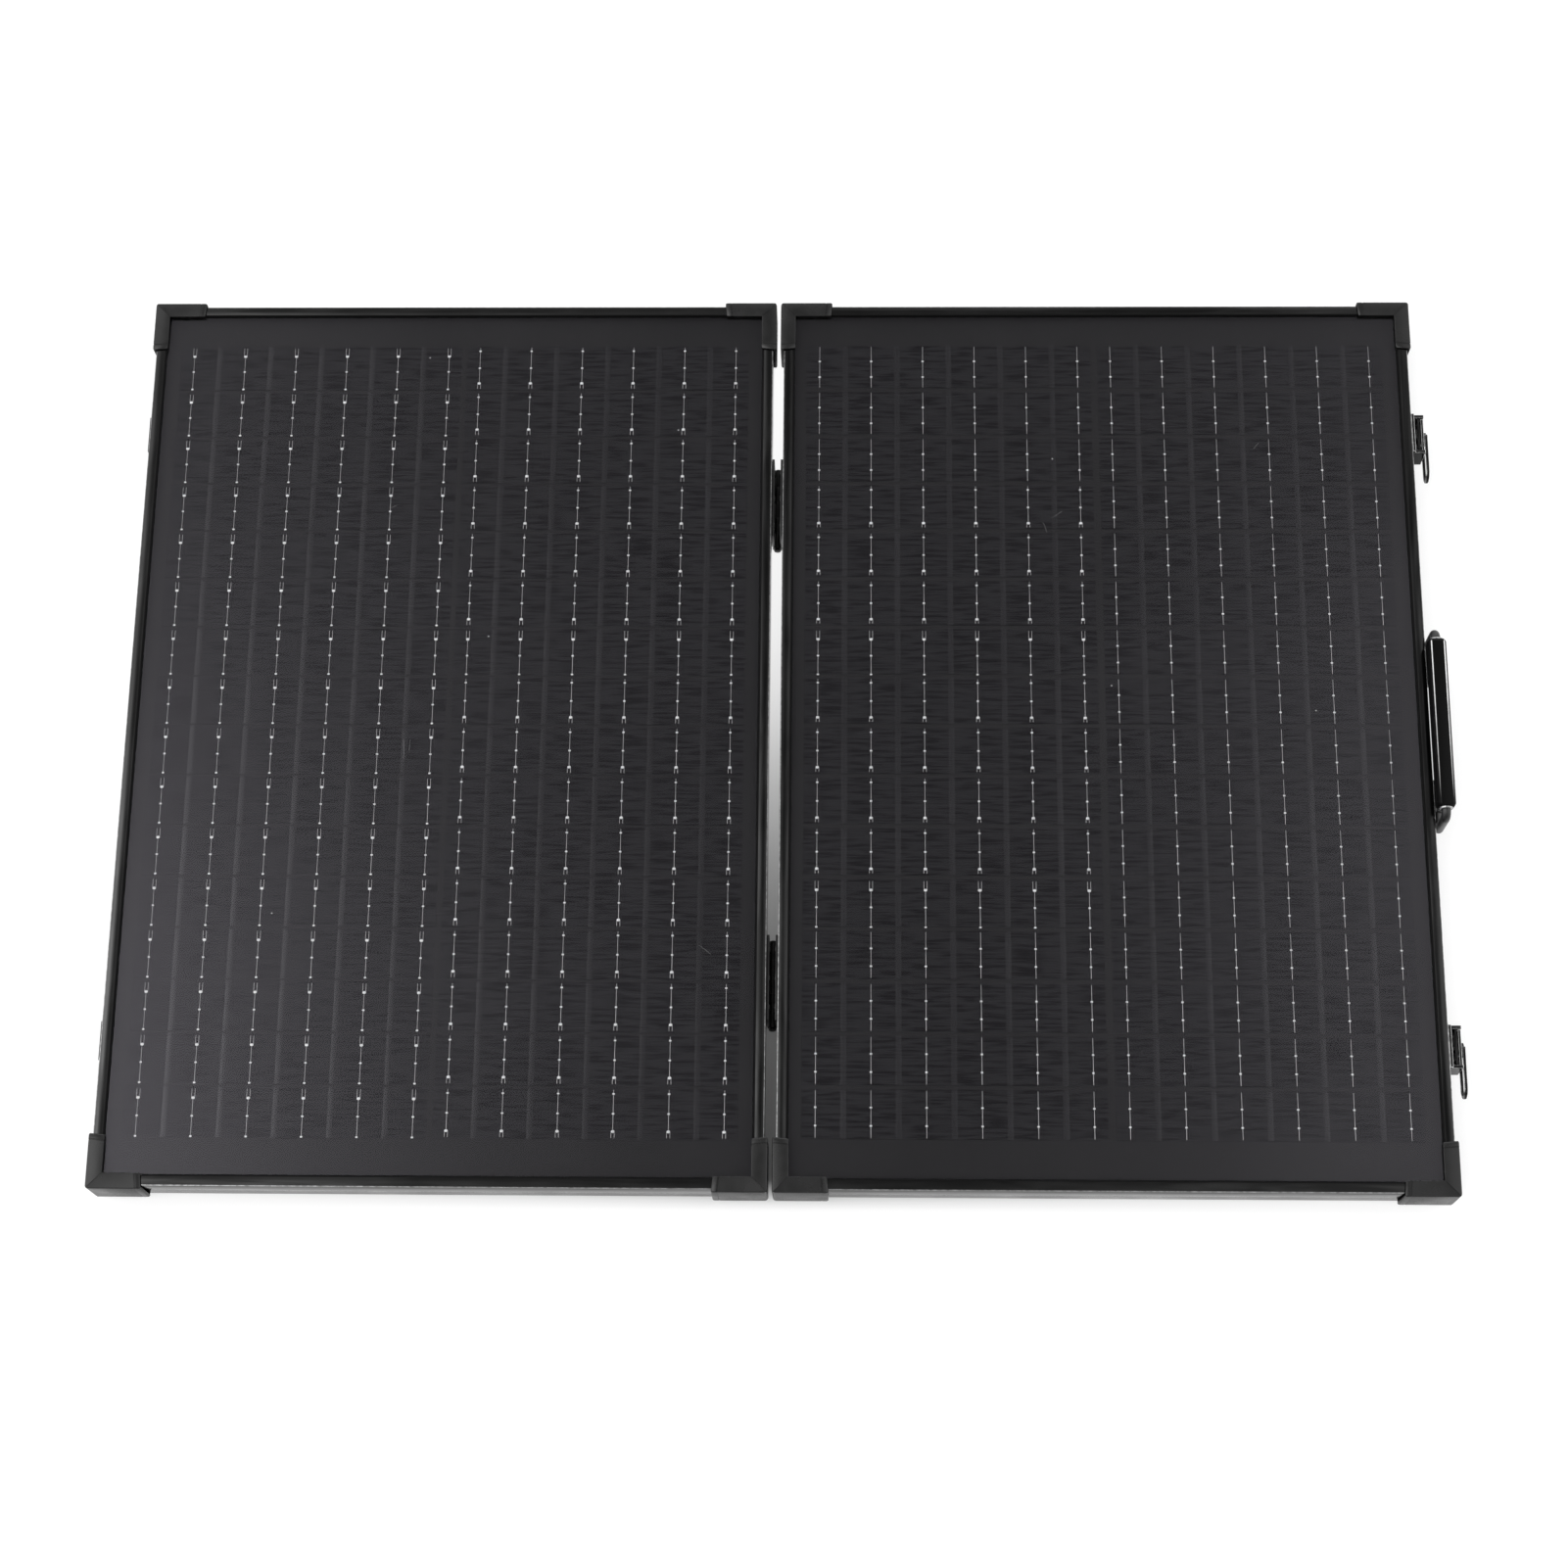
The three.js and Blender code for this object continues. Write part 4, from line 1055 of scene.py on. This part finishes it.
def wire_run(shape, panel, u, far_y, near_y, width=0.31):
    """A half-round wire from far to near, its ends pressed flat."""
    base = STRIP_LEVEL + 0.01
    rings = []
    for y, share in ((far_y, 0.3), (far_y - 0.5, 1.0), (near_y + 0.5, 1.0), (near_y, 0.3)):
        ring = []
        for across, up in ((-0.5, 0.0), (-0.38, 0.5), (0.0, 0.75), (0.38, 0.5), (0.5, 0.0)):
            ring.append(panel.point(u + across * width, y, base + up * width * share))
        rings.append(ring)
    shape.loft(rings)


def pad(shape, panel, u, y, size):
    """A low oval blob of solder that joins a wire to the cell."""
    half_width, half_length = size
    base = STRIP_LEVEL + 0.005
    rings = []
    for share, up in ((1.0, 0.0), (0.86, 0.12), (0.5, 0.2)):
        ring = []
        for a, b in outline_circle(share, 10):
            ring.append(panel.point(u + a * half_width, y + b * half_length, base + up))
        rings.append(ring)
    shape.loft(rings)


def strip_wires(wires, pads, panel, u, far_y, length, pattern):
    """The wire over one strip, with its pads and, where the strip has one, the fork to its edge."""
    places = [(far_y - share * STRIP_PITCH, size) for share, size in pattern]
    start, end = far_y - WIRE_MARGIN, far_y - length + WIRE_MARGIN
    if pattern is LEADING:
        start = places[0][0]
    if pattern is TRAILING:
        end = places[-1][0]
    wire_run(wires, panel, u, start, end)
    if pattern is not PAIR:
        big_y = places[0][0] if pattern is LEADING else places[-1][0]
        edge_y = far_y - FORK_MARGIN if pattern is LEADING else far_y - length + FORK_MARGIN
        for side in (-1, 1):
            ends = (max(big_y, edge_y), min(big_y, edge_y))
            wire_run(wires, panel, u + side * FORK_HALF_WIDTH, *ends, 0.3)
    for y, size in places:
        pad(pads, panel, u, y, size)


def make_column(panel, column, shapes):
    start_u = column.middle - COLUMN_WIDTH / 2
    wire_margin = (COLUMN_WIDTH - (WIRES - 1) * WIRE_PITCH) / 2
    for row, pattern in enumerate(column.patterns):
        far_y = column.far_edge - row * STRIP_PITCH
        near_y = far_y - column.strip_length
        corners = [panel.point(start_u, near_y, SHEET_LEVEL + 0.02)]
        corners.append(panel.point(start_u + COLUMN_WIDTH, far_y, STRIP_LEVEL))
        low = [min(corner[i] for corner in corners) for i in range(3)]
        high = [max(corner[i] for corner in corners) for i in range(3)]
        shapes["strips"].slab(low, high, 0.05)
        for wire in range(WIRES):
            u = start_u + wire_margin + wire * WIRE_PITCH
            strip_wires(shapes["wires"], shapes["pads"], panel, u, far_y, column.strip_length, pattern)
            if wire < WIRES - 1:
                band_u = u + WIRE_PITCH / 2
                ring = [(-1.7, 0), (1.7, 0), (1.5, 0.02), (-1.5, 0.02)]
                rings = []
                for y in (far_y - 0.2, near_y + 0.2):
                    rings.append([panel.point(band_u + a, y, STRIP_LEVEL + 0.003 + b) for a, b in ring])
                shapes["bands"].loft(rings)


def make_laminates():
    for panel in PANELS:
        layer = f"{panel.name}_cell_layer"
        low, high = span_of(layer)
        sheet = Shape()
        sheet.slab(low, Vector((high.x, high.y, panel.under + SHEET_LEVEL)), 0.15)
        make_piece(f"{panel.name}_encapsulant", sheet, ENCAPSULANT, panel.body, [layer])
        shapes = {part: Shape() for part in ("strips", "wires", "pads", "bands")}
        for column in COLUMNS[panel.name]:
            make_column(panel, column, shapes)
        looks = {"strips": SILICON, "wires": WIRE_TIN, "pads": PAD_SILVER, "bands": CELL_BAND}
        for part, shape in shapes.items():
            make_piece(f"{panel.name}_cell_{part}", shape, looks[part], panel.body, [layer])
        dress([f"{panel.name}_glass"], GLASS, 0)
        dress([f"{panel.name}_backsheet"], BACKSHEET, 0)
        make_glass_marks(panel)


# specks of dust on each glass, as places (u, y), and scratches, as (u, y, length, angle)
SPECKS = {
    "left": ((221.4, 252.0), (176.0, 60.0), (301.0, -120.0), (60.0, 201.0)),
    "right": ((204.8, 28.1), (171.0, 181.0), (121.0, -104.0), (330.0, 12.0)),
}
SCRATCHES = {
    "left": (
        (225.7, -14.6, 12.0, 1.62), (222.1, -12.0, 7.0, 1.5), (36.9, -142.0, 9.0, 2.5),
        (240.0, 148.0, 6.0, 0.4),
    ),
    "right": ((173.6, 143.0, 8.0, 0.6), (165.5, 134.0, 7.0, 1.9), (300.0, 190.0, 5.0, 0.9)),
}


def make_glass_marks(panel):
    marks = Shape()
    level = GLASS_LEVEL
    for u, y in SPECKS[panel.name]:
        marks.turned(panel.point(u, y, level), Z, ((0.0, 0.45), (0.05, 0.42), (0.12, 0.2)), 9)
    for u, y, length, angle in SCRATCHES[panel.name]:
        along = X * math.cos(angle) + Y * math.sin(angle)
        middle = panel.point(u, y, level + 0.01)
        path = []
        for share, sag in ((-0.5, 0), (-0.2, 0.12), (0.15, 0.16), (0.5, 0)):
            path.append(middle + along * length * share + along.cross(Z) * sag)
        marks.swept(path, [(-0.035, 0), (0.035, 0), (0.02, 0.02), (-0.02, 0.02)], Z)
    make_piece(f"{panel.name}_glass_marks", marks, DUST, panel.body)


# ---------------------------------------------------------------- hinges
HINGE_SCREWS = (-18.0, 0.0, 18.0)
HINGE_SCREW_UP = 13.2


def make_hinges():
    fold = joint_place("fold")
    dress([f"{end}_hinge_pin" for end, _ in ENDS], BLACK_SCREW, 0.25)
    for end, _ in ENDS:
        for panel in PANELS:
            leaf = f"{end}_hinge_leaf_{panel.name}"
            dress([leaf], BLACK_STEEL, 0.2)
            low, high = span_of(leaf)
            middle = (low.y + high.y) / 2
            face = low.x + 1.5 if panel is LEFT else high.x - 1.5
            screws = Shape()
            for along in HINGE_SCREWS:
                spot = Vector((face, middle + along, panel.under + HINGE_SCREW_UP))
                screws.fastener(spot, X * -panel.side, 2.6, 0.8, 0.4 * along)
            make_piece(f"{leaf}_screws", screws, BLACK_SCREW, panel.body)
        domes = Shape()
        low, high = span_of(f"{end}_hinge_pin")
        for tip, direction in ((low.y, -Y), (high.y, Y)):
            spot = Vector((fold.x, tip, fold.z))
            domes.turned(spot, direction, ((-0.05, 2.1), (0.25, 1.9), (0.5, 1.3), (0.6, 0.6)), 20)
        make_piece(f"{end}_hinge_pin_domes", domes, BLACK_SCREW, "right_panel")


# ---------------------------------------------------------------- latches and keepers
def make_latches():
    for end, _ in ENDS:
        axis = joint_place(f"{end}_latch_turn")
        dress([f"{end}_latch_hook"], LATCH_STEEL, 0.3)
        # the latch base's bevels carry a painted highlight
        dress([f"{end}_latch_base"], LATCH_STEEL, 0.45, LATCH_PAINTED_HIGHLIGHT)
        dress([f"{end}_latch_cam"], LATCH_STEEL, 0.4, LATCH_EDGE)
        dress([f"{end}_latch_wing"], LATCH_STEEL, 0.35, LATCH_EDGE)
        dress([f"{end}_keeper"], BLACK_STEEL, 0.3)
        make_latch_hardware(end, axis)
        make_keeper_hardware(end)


def make_latch_hardware(end, axis):
    low, high = span_of(f"{end}_latch_base")
    rivets = Shape()
    for side in (-1, 1):
        for up in (-9.6, 9.6):
            spot = Vector((low.x + 1.8, axis.y + side * 8.6, axis.z + up))
            rivets.rivet(spot, X, 1.7, 0.8)
    make_piece(f"{end}_latch_rivets", rivets, BLACK_SCREW, "right_panel")
    ridges = Shape()
    outline = [(-0.8, 0), (0.8, 0), (0.45, 0.42), (-0.45, 0.42)]
    for up in (-4.6, 4.6):
        middle = Vector((high.x - 0.1, axis.y, axis.z + up))
        rings = []
        for along, rise in ((-11.2, 0.2), (-10.4, 1.0), (10.4, 1.0), (11.2, 0.2)):
            rings.append([middle + Y * along + Z * a + X * b * rise for a, b in outline])
        ridges.loft(rings)
    make_piece(f"{end}_latch_ridges", ridges, LATCH_STEEL, "right_panel")
    _, boss = span_of(f"{end}_latch_cam")
    cap = Shape()
    face = Vector((boss.x, axis.y, axis.z))
    cap.turned(face, X, ((-0.05, 3.9), (0.15, 3.8), (0.3, 3.5), (0.28, 3.1), (0.05, 2.9)), 28)
    cap.fastener(face, X, 2.0, 0.3)
    make_piece(f"{end}_latch_cam_cap", cap, LATCH_STEEL, f"{end}_latch_cam")


def make_keeper_hardware(end):
    low, high = span_of(f"{end}_keeper")
    middle = (low.y + high.y) / 2
    rivets = Shape()
    for side in (-1, 1):
        spot = Vector((high.x - 1.4, middle + side * 7.6, high.z - 5.4))
        rivets.rivet(spot, -X, 2.2, 0.9)
    make_piece(f"{end}_keeper_rivets", rivets, BLACK_SCREW, "left_panel")


# ---------------------------------------------------------------- carrying handle
BAIL_RADIUS = 2.9
BAIL_HALF_WIDTH = 59.5
BAIL_BEND = 5.0
BAIL_REACH = 30.0
BAIL_INSIDE = 35.0
GRIP_SIZE = 12.0
GRIP_HALF_LENGTH = 54.0
BRACKET_PLATE = 1.1
GRIP_HALF_WIDTH = 5.7
GRIP_FLAT = 3.9
GRIP_SHOULDER = 3.6


def handle_place(y, out, up=0.0):
    """A place on the handle: out along it from its pivot, up across its face."""
    return joint_place("handle_swing") + Y * y + Z * out + X * up


def grip_outline():
    """The grip's section: a flat top between two shoulders, and a rounded underside."""
    top = GRIP_SIZE / 2 - 0.05
    corners = [
        (-GRIP_HALF_WIDTH, -top), (GRIP_HALF_WIDTH, -top), (GRIP_HALF_WIDTH, GRIP_SHOULDER),
        (GRIP_FLAT, top), (-GRIP_FLAT, top), (-GRIP_HALF_WIDTH, GRIP_SHOULDER),
    ]
    return rounded_outline(corners, [2.6, 2.6, 1.0, 0.6, 0.6, 1.0], 5)


def make_grip_highlights(normal, reach):
    """Two thin strips along the edges of the grip's flat top, carrying a painted highlight."""
    lines = Shape()
    top = GRIP_SIZE / 2 - 0.05
    outline = [(-0.34, -0.2), (0.34, -0.2), (0.3, 0.03), (-0.3, 0.03)]
    for side in (-1, 1):
        tilt = math.radians(24) * side
        across = normal * math.cos(tilt) - reach * math.sin(tilt)
        up = reach * math.cos(tilt) + normal * math.sin(tilt)
        rings = []
        for y, width in ((-49, 0.2), (-40, 0.8), (51.5, 1.0), (52.2, 0.3)):
            centre = handle_place(y, BAIL_REACH + top - 0.07, side * (GRIP_FLAT - 0.02))
            rings.append([centre + across * a * width + up * b for a, b in outline])
        lines.loft(rings)
    # these strips carry a painted highlight
    make_piece("handle_grip_lines", lines, PAINTED_HIGHLIGHT_LINE, "handle", ["handle_grip"])


def make_bail(normal):
    bail = Shape()
    half = BAIL_HALF_WIDTH
    corners = (
        (-BAIL_INSIDE, 0), (-half, 0), (-half, BAIL_REACH), (half, BAIL_REACH), (half, 0), (BAIL_INSIDE, 0),
    )
    route = [handle_place(y, out) for y, out in corners]
    bail.swept(bent_path(route, BAIL_BEND), outline_circle(BAIL_RADIUS - 0.01, 28), normal)
    make_piece("handle_rod", bail, BLACK_STEEL, "handle", ["handle_bail"])


def make_grip(normal, reach):
    grip = Shape()
    outline = grip_outline()
    rings = []
    end_stations = ((GRIP_HALF_LENGTH, 1.6), (53.6, 0.8), (52.6, 0.15), (51.8, 0))
    stations = [(-y, inset) for y, inset in end_stations] + list(reversed(end_stations))
    for y, inset in stations:
        rings.append(grip_ring(handle_place(y, BAIL_REACH), normal, reach, outline, inset))
    grip.loft(rings)
    for y in (-37.5, 37.5):
        grip.turned(handle_place(y, BAIL_REACH, GRIP_HALF_WIDTH - 0.1), normal,
                    ((0, 2.3), (0.25, 2.2), (0.38, 1.8), (0.36, 1.1), (0.1, 1.0)), 20)
    make_piece("handle_grip_bar", grip, GLOSS_PLASTIC, "handle", ["handle_grip"], 28)


def make_collars():
    """A rubbed metal collar at each end of the grip."""
    collars = Shape()
    for side in (-1, 1):
        start = handle_place(side * (GRIP_HALF_LENGTH - 0.3), BAIL_REACH)
        inside = BAIL_RADIUS + 0.02
        profile = ((0, 4.2), (1.0, 4.2), (1.3, 4.0), (1.5, 3.2), (1.5, inside), (0, inside))
        collars.tube(start, Y * side, profile, 28)
    make_piece("handle_collars", collars, LATCH_EDGE, "handle", ["handle_grip"])


def make_handle():
    normal = X
    reach = Z
    make_bail(normal)
    make_grip(normal, reach)
    make_grip_highlights(normal, reach)
    make_collars()
    for end, _ in ENDS:
        node = f"handle_bracket_{end}"
        dress([node], BLACK_STEEL, 0.3, STEEL_EDGE)
        low, high = span_of(node)
        middle = (low.y + high.y) / 2
        screws = Shape()
        for along in (-6.6, 6.6):
            spot = Vector((low.x + BRACKET_PLATE, middle + along, high.z - 4.3))
            screws.fastener(spot, X, 2.1, 1.1, 0.5 + along)
        make_piece(f"{node}_screws", screws, BLACK_SCREW, "right_panel")


def grip_ring(centre, across, up, outline, inset):
    scale = (GRIP_SIZE / 2 - inset) / (GRIP_SIZE / 2)
    return [centre + across * a * scale + up * b * scale for a, b in outline]


# ---------------------------------------------------------------- kickstands
LEG_RADIUS = 5.0
LEG_BEND = 25.0
LEG_LENGTH = 330.0
LEG_EYE_RADIUS = 6.5
LEG_EYE_WIDTH = 9.4
STUD_BORE = 3.1
SLEEVE_HALF_LENGTH = 60.0
SLEEVE_RIB_PITCH = 6.0


def make_kickstands():
    for panel in PANELS:
        name = f"{panel.name}_kickstand"
        pivot = joint_place(f"{panel.name}_kickstand_swing")
        low, high = span_of(name)
        middle_x = (low.x + high.x) / 2
        half = (high.x - low.x) / 2 - LEG_EYE_WIDTH / 2
        far_y, near_y = pivot.y - LEG_EYE_RADIUS + 1.2, pivot.y - LEG_LENGTH

        tube = Shape()
        route = [Vector((middle_x + x, y, pivot.z)) for x, y in (
            (-half, far_y), (-half, near_y), (half, near_y), (half, far_y))]
        tube.swept(bent_path(route, LEG_BEND, 14), outline_circle(LEG_RADIUS - 0.02, 28), Z)
        for side in (-1, 1):
            centre = Vector((middle_x + side * half, pivot.y, pivot.z))
            width = LEG_EYE_WIDTH / 2
            profile = (
                (-width, LEG_EYE_RADIUS - 0.5), (-width + 0.5, LEG_EYE_RADIUS), (width - 0.5, LEG_EYE_RADIUS),
                (width, LEG_EYE_RADIUS - 0.5), (width, STUD_BORE + 0.3), (width - 0.3, STUD_BORE),
                (-width + 0.3, STUD_BORE), (-width, STUD_BORE + 0.3),
            )
            tube.tube(centre, X, profile, 32)
        make_piece(f"{name}_tube", tube, TUBE_PAINT, name, [name])

        sleeve = Shape()
        profile = [(-SLEEVE_HALF_LENGTH, 5.06), (-SLEEVE_HALF_LENGTH, 6.2), (-SLEEVE_HALF_LENGTH + 0.7, 6.9)]
        ribs = int(2 * SLEEVE_HALF_LENGTH / SLEEVE_RIB_PITCH) - 1
        for i in range(ribs):
            middle = -SLEEVE_HALF_LENGTH + (i + 1) * SLEEVE_RIB_PITCH
            profile += [(middle - 1.2, 6.95), (middle - 0.7, 6.3), (middle + 0.7, 6.3), (middle + 1.2, 6.95)]
        profile += [(SLEEVE_HALF_LENGTH - 0.7, 6.9), (SLEEVE_HALF_LENGTH, 6.2), (SLEEVE_HALF_LENGTH, 5.06)]
        sleeve.tube(Vector((middle_x, near_y, pivot.z)), X, profile, 32)
        make_piece(f"{name}_sleeve_ribbed", sleeve, RUBBER, name, [f"{name}_sleeve"])
        make_kickstand_brackets(panel)


def make_kickstand_brackets(panel):
    for where, outwards in (("inner", -1), ("outer", 1)):
        node = f"{panel.name}_kickstand_bracket_{where}"
        dress([node], BLACK_STEEL, 0.3, STEEL_EDGE)
        low, high = span_of(node)
        outwards_x = outwards * panel.side
        edge_x = high.x if outwards_x > 0 else low.x
        middle = (low.y + high.y) / 2
        rivets = Shape()
        for along in (-8.0, 8.0):
            rivets.rivet(Vector((edge_x - outwards_x * 5.6, middle + along, low.z)), -Z, 2.4, 1.0)
        make_piece(f"{node}_rivets", rivets, STAINLESS, panel.body)


# ---------------------------------------------------------------- junction boxes
def lid_ribs(shape, low, high, count, length):
    """Raised ribs across the middle of a lid that faces down."""
    middle = (low + high) / 2
    for i in range(count):
        x = middle.x + (i - (count - 1) / 2) * 5.0
        rib_low = (x - 1.0, middle.y - length / 2, low.z - 0.6)
        shape.slab(rib_low, (x + 1.0, middle.y + length / 2, low.z + 0.2), 0.35)


def gland(shape, centre, radius):
    """A hexagonal clamping nut with a domed throat, pointing towards -y."""
    angles = [math.pi * i / 12 for i in range(24)]
    flats = hexagon_radius(radius)
    rings = []
    stations = (
        (0.2, 0.9, True), (0.7, 1.0, True), (5.3, 1.0, True), (5.8, 0.92, True), (6.0, 0.86, False),
        (8.2, 0.74, False), (8.6, 0.62, False), (8.2, 0.5, False), (0.4, 0.5, False),
    )
    for along, share, hexed in stations:
        ring = []
        for angle in angles:
            reach = flats(angle) if hexed else radius
            ring.append(centre - Y * along + (X * math.cos(angle) + Z * math.sin(angle)) * reach * share)
        rings.append(ring)
    shape.loft(rings, loop=True)


def make_junction_boxes():
    for panel in PANELS:
        box, lid = f"{panel.name}_junction_box", f"{panel.name}_junction_box_lid"
        dress([box], CASE_PLASTIC, 0.4)
        dress([lid], CASE_PLASTIC, 0.5)
        low, high = span_of(lid)
        box_low, box_high = span_of(box)
        middle = (low + high) / 2
        screws = Shape()
        for sx in (-1, 1):
            for sy in (-1, 1):
                half_x, half_y = (high.x - low.x) / 2 - 5.5, (high.y - low.y) / 2 - 5.5
                spot = Vector((middle.x + sx * half_x, middle.y + sy * half_y, low.z))
                screws.fastener(spot, -Z, 2.6, 1.0, sx + 0.4 * sy)
        make_piece(f"{lid}_screws", screws, STAINLESS, panel.body)
        relief = Shape()
        lid_ribs(relief, low, high, 9, 26.0)
        make_piece(f"{lid}_ribs", relief, CASE_PLASTIC, panel.body)
        nuts = Shape()
        face_y = low.y
        for side in (-1, 1):
            centre = Vector((middle.x + side * 26.0, face_y, (box_low.z + box_high.z) / 2))
            gland(nuts, centre, 6.4)
        make_piece(f"{box}_gland_nuts", nuts, CASE_PLASTIC, panel.body)
        make_seal(f"{box}_seal", low, high, box_high.z, panel.body)


def make_seal(name, low, high, top, body):
    """A fillet of sealant round the foot of a box that is stuck to the backsheet."""
    seal = Shape()
    section = ((-0.2, 0.0), (1.6, 0.0), (1.3, -0.35), (0.5, -0.8), (0.0, -1.6), (-0.2, -1.6))
    seal.rim(low, high, top + 0.05, section)
    make_piece(name, seal, SEAL, body)


# ---------------------------------------------------------------- charge controller
CONTROLLER_BODY = "right_panel"
TERMINALS = 6
TERMINAL_PITCH = 11.0
VENTS = 9
VENT_PITCH = 5.0


def make_controller():
    dress(["controller_case"], CONTROLLER_PLASTIC, 0.5)
    dress(["controller_cover"], CONTROLLER_PLASTIC, 0.35)
    dress(["controller_display"], LCD, 0.15)
    dress(["controller_terminal_block"], TERMINAL_PLASTIC, 0.25)
    dress(["controller_button_left", "controller_button_right"], RUBBER, 0.45, None, 3)
    low, high = span_of("controller_cover")
    middle = (low + high) / 2
    make_cover_screws(low, middle)
    make_bezel(low)
    make_vents_and_lamps(low, middle)
    make_terminals()
    case_low, case_high = span_of("controller_case")
    make_seal("controller_seal", case_low, case_high, case_high.z, CONTROLLER_BODY)


def make_cover_screws(low, middle):
    screws = Shape()
    for sx in (-1, 1):
        for sy in (-1, 1):
            spot = Vector((middle.x + sx * 49.0, middle.y + sy * 31.0, low.z))
            screws.fastener(spot, -Z, 2.7, 1.0, 0.7 * sx + sy)
    make_piece("controller_cover_screws", screws, STAINLESS, CONTROLLER_BODY)


def make_bezel(low):
    """A raised rim round the display, on the cover's face."""
    bezel = Shape()
    window_low, window_high = span_of("controller_display")
    section = ((0.35, 0.05), (0.4, -0.5), (0.9, -0.8), (1.9, -0.8), (2.5, -0.1), (2.5, 0.05))
    bezel.rim(window_low, window_high, low.z, section)
    make_piece("controller_bezel", bezel, CASE_PLASTIC, CONTROLLER_BODY)


def make_vents_and_lamps(low, middle):
    vents = Shape()
    for side in (-1, 1):
        for i in range(VENTS):
            y = middle.y - 20 + i * VENT_PITCH
            x = middle.x + side * 37.0
            vents.slab((x - 7.0, y - 0.8, low.z - 0.55), (x + 7.0, y + 0.8, low.z + 0.2), 0.3)
    make_piece("controller_vents", vents, CONTROLLER_PLASTIC, CONTROLLER_BODY)

    lamps = Shape()
    for i in (-1, 0, 1):
        spot = Vector((middle.x + i * 6.0, middle.y - 4.5, low.z))
        lamps.turned(spot, -Z, ((-0.1, 1.5), (0.3, 1.45), (0.7, 1.0), (0.85, 0.4)), 18)
    make_piece("controller_lamps", lamps, TERMINAL_PLASTIC, CONTROLLER_BODY)


def make_terminals():
    """A clamping screw and a brass throat for each terminal."""
    block_low, block_high = span_of("controller_terminal_block")
    block_middle = (block_low + block_high) / 2
    clamps = Shape()
    throats = Shape()
    for i in range(TERMINALS):
        x = block_middle.x + (i - (TERMINALS - 1) / 2) * TERMINAL_PITCH
        clamps.fastener(Vector((x, block_middle.y, block_low.z)), -Z, 2.7, 0.7, 0.8 * i)
        mouth = Vector((x, block_low.y, block_high.z - 5.0))
        throats.tube(mouth, Y, ((-0.05, 2.15), (-0.3, 2.4), (-0.3, 2.9), (0.0, 3.1), (0.1, 2.15)), 20)
    make_piece("controller_terminal_screws", clamps, STAINLESS, CONTROLLER_BODY)
    make_piece("controller_terminal_throats", throats, BRASS, CONTROLLER_BODY)


make_studio()
make_frames()
make_caps()
make_laminates()
make_hinges()
make_latches()
make_handle()
make_kickstands()
make_junction_boxes()
make_controller()
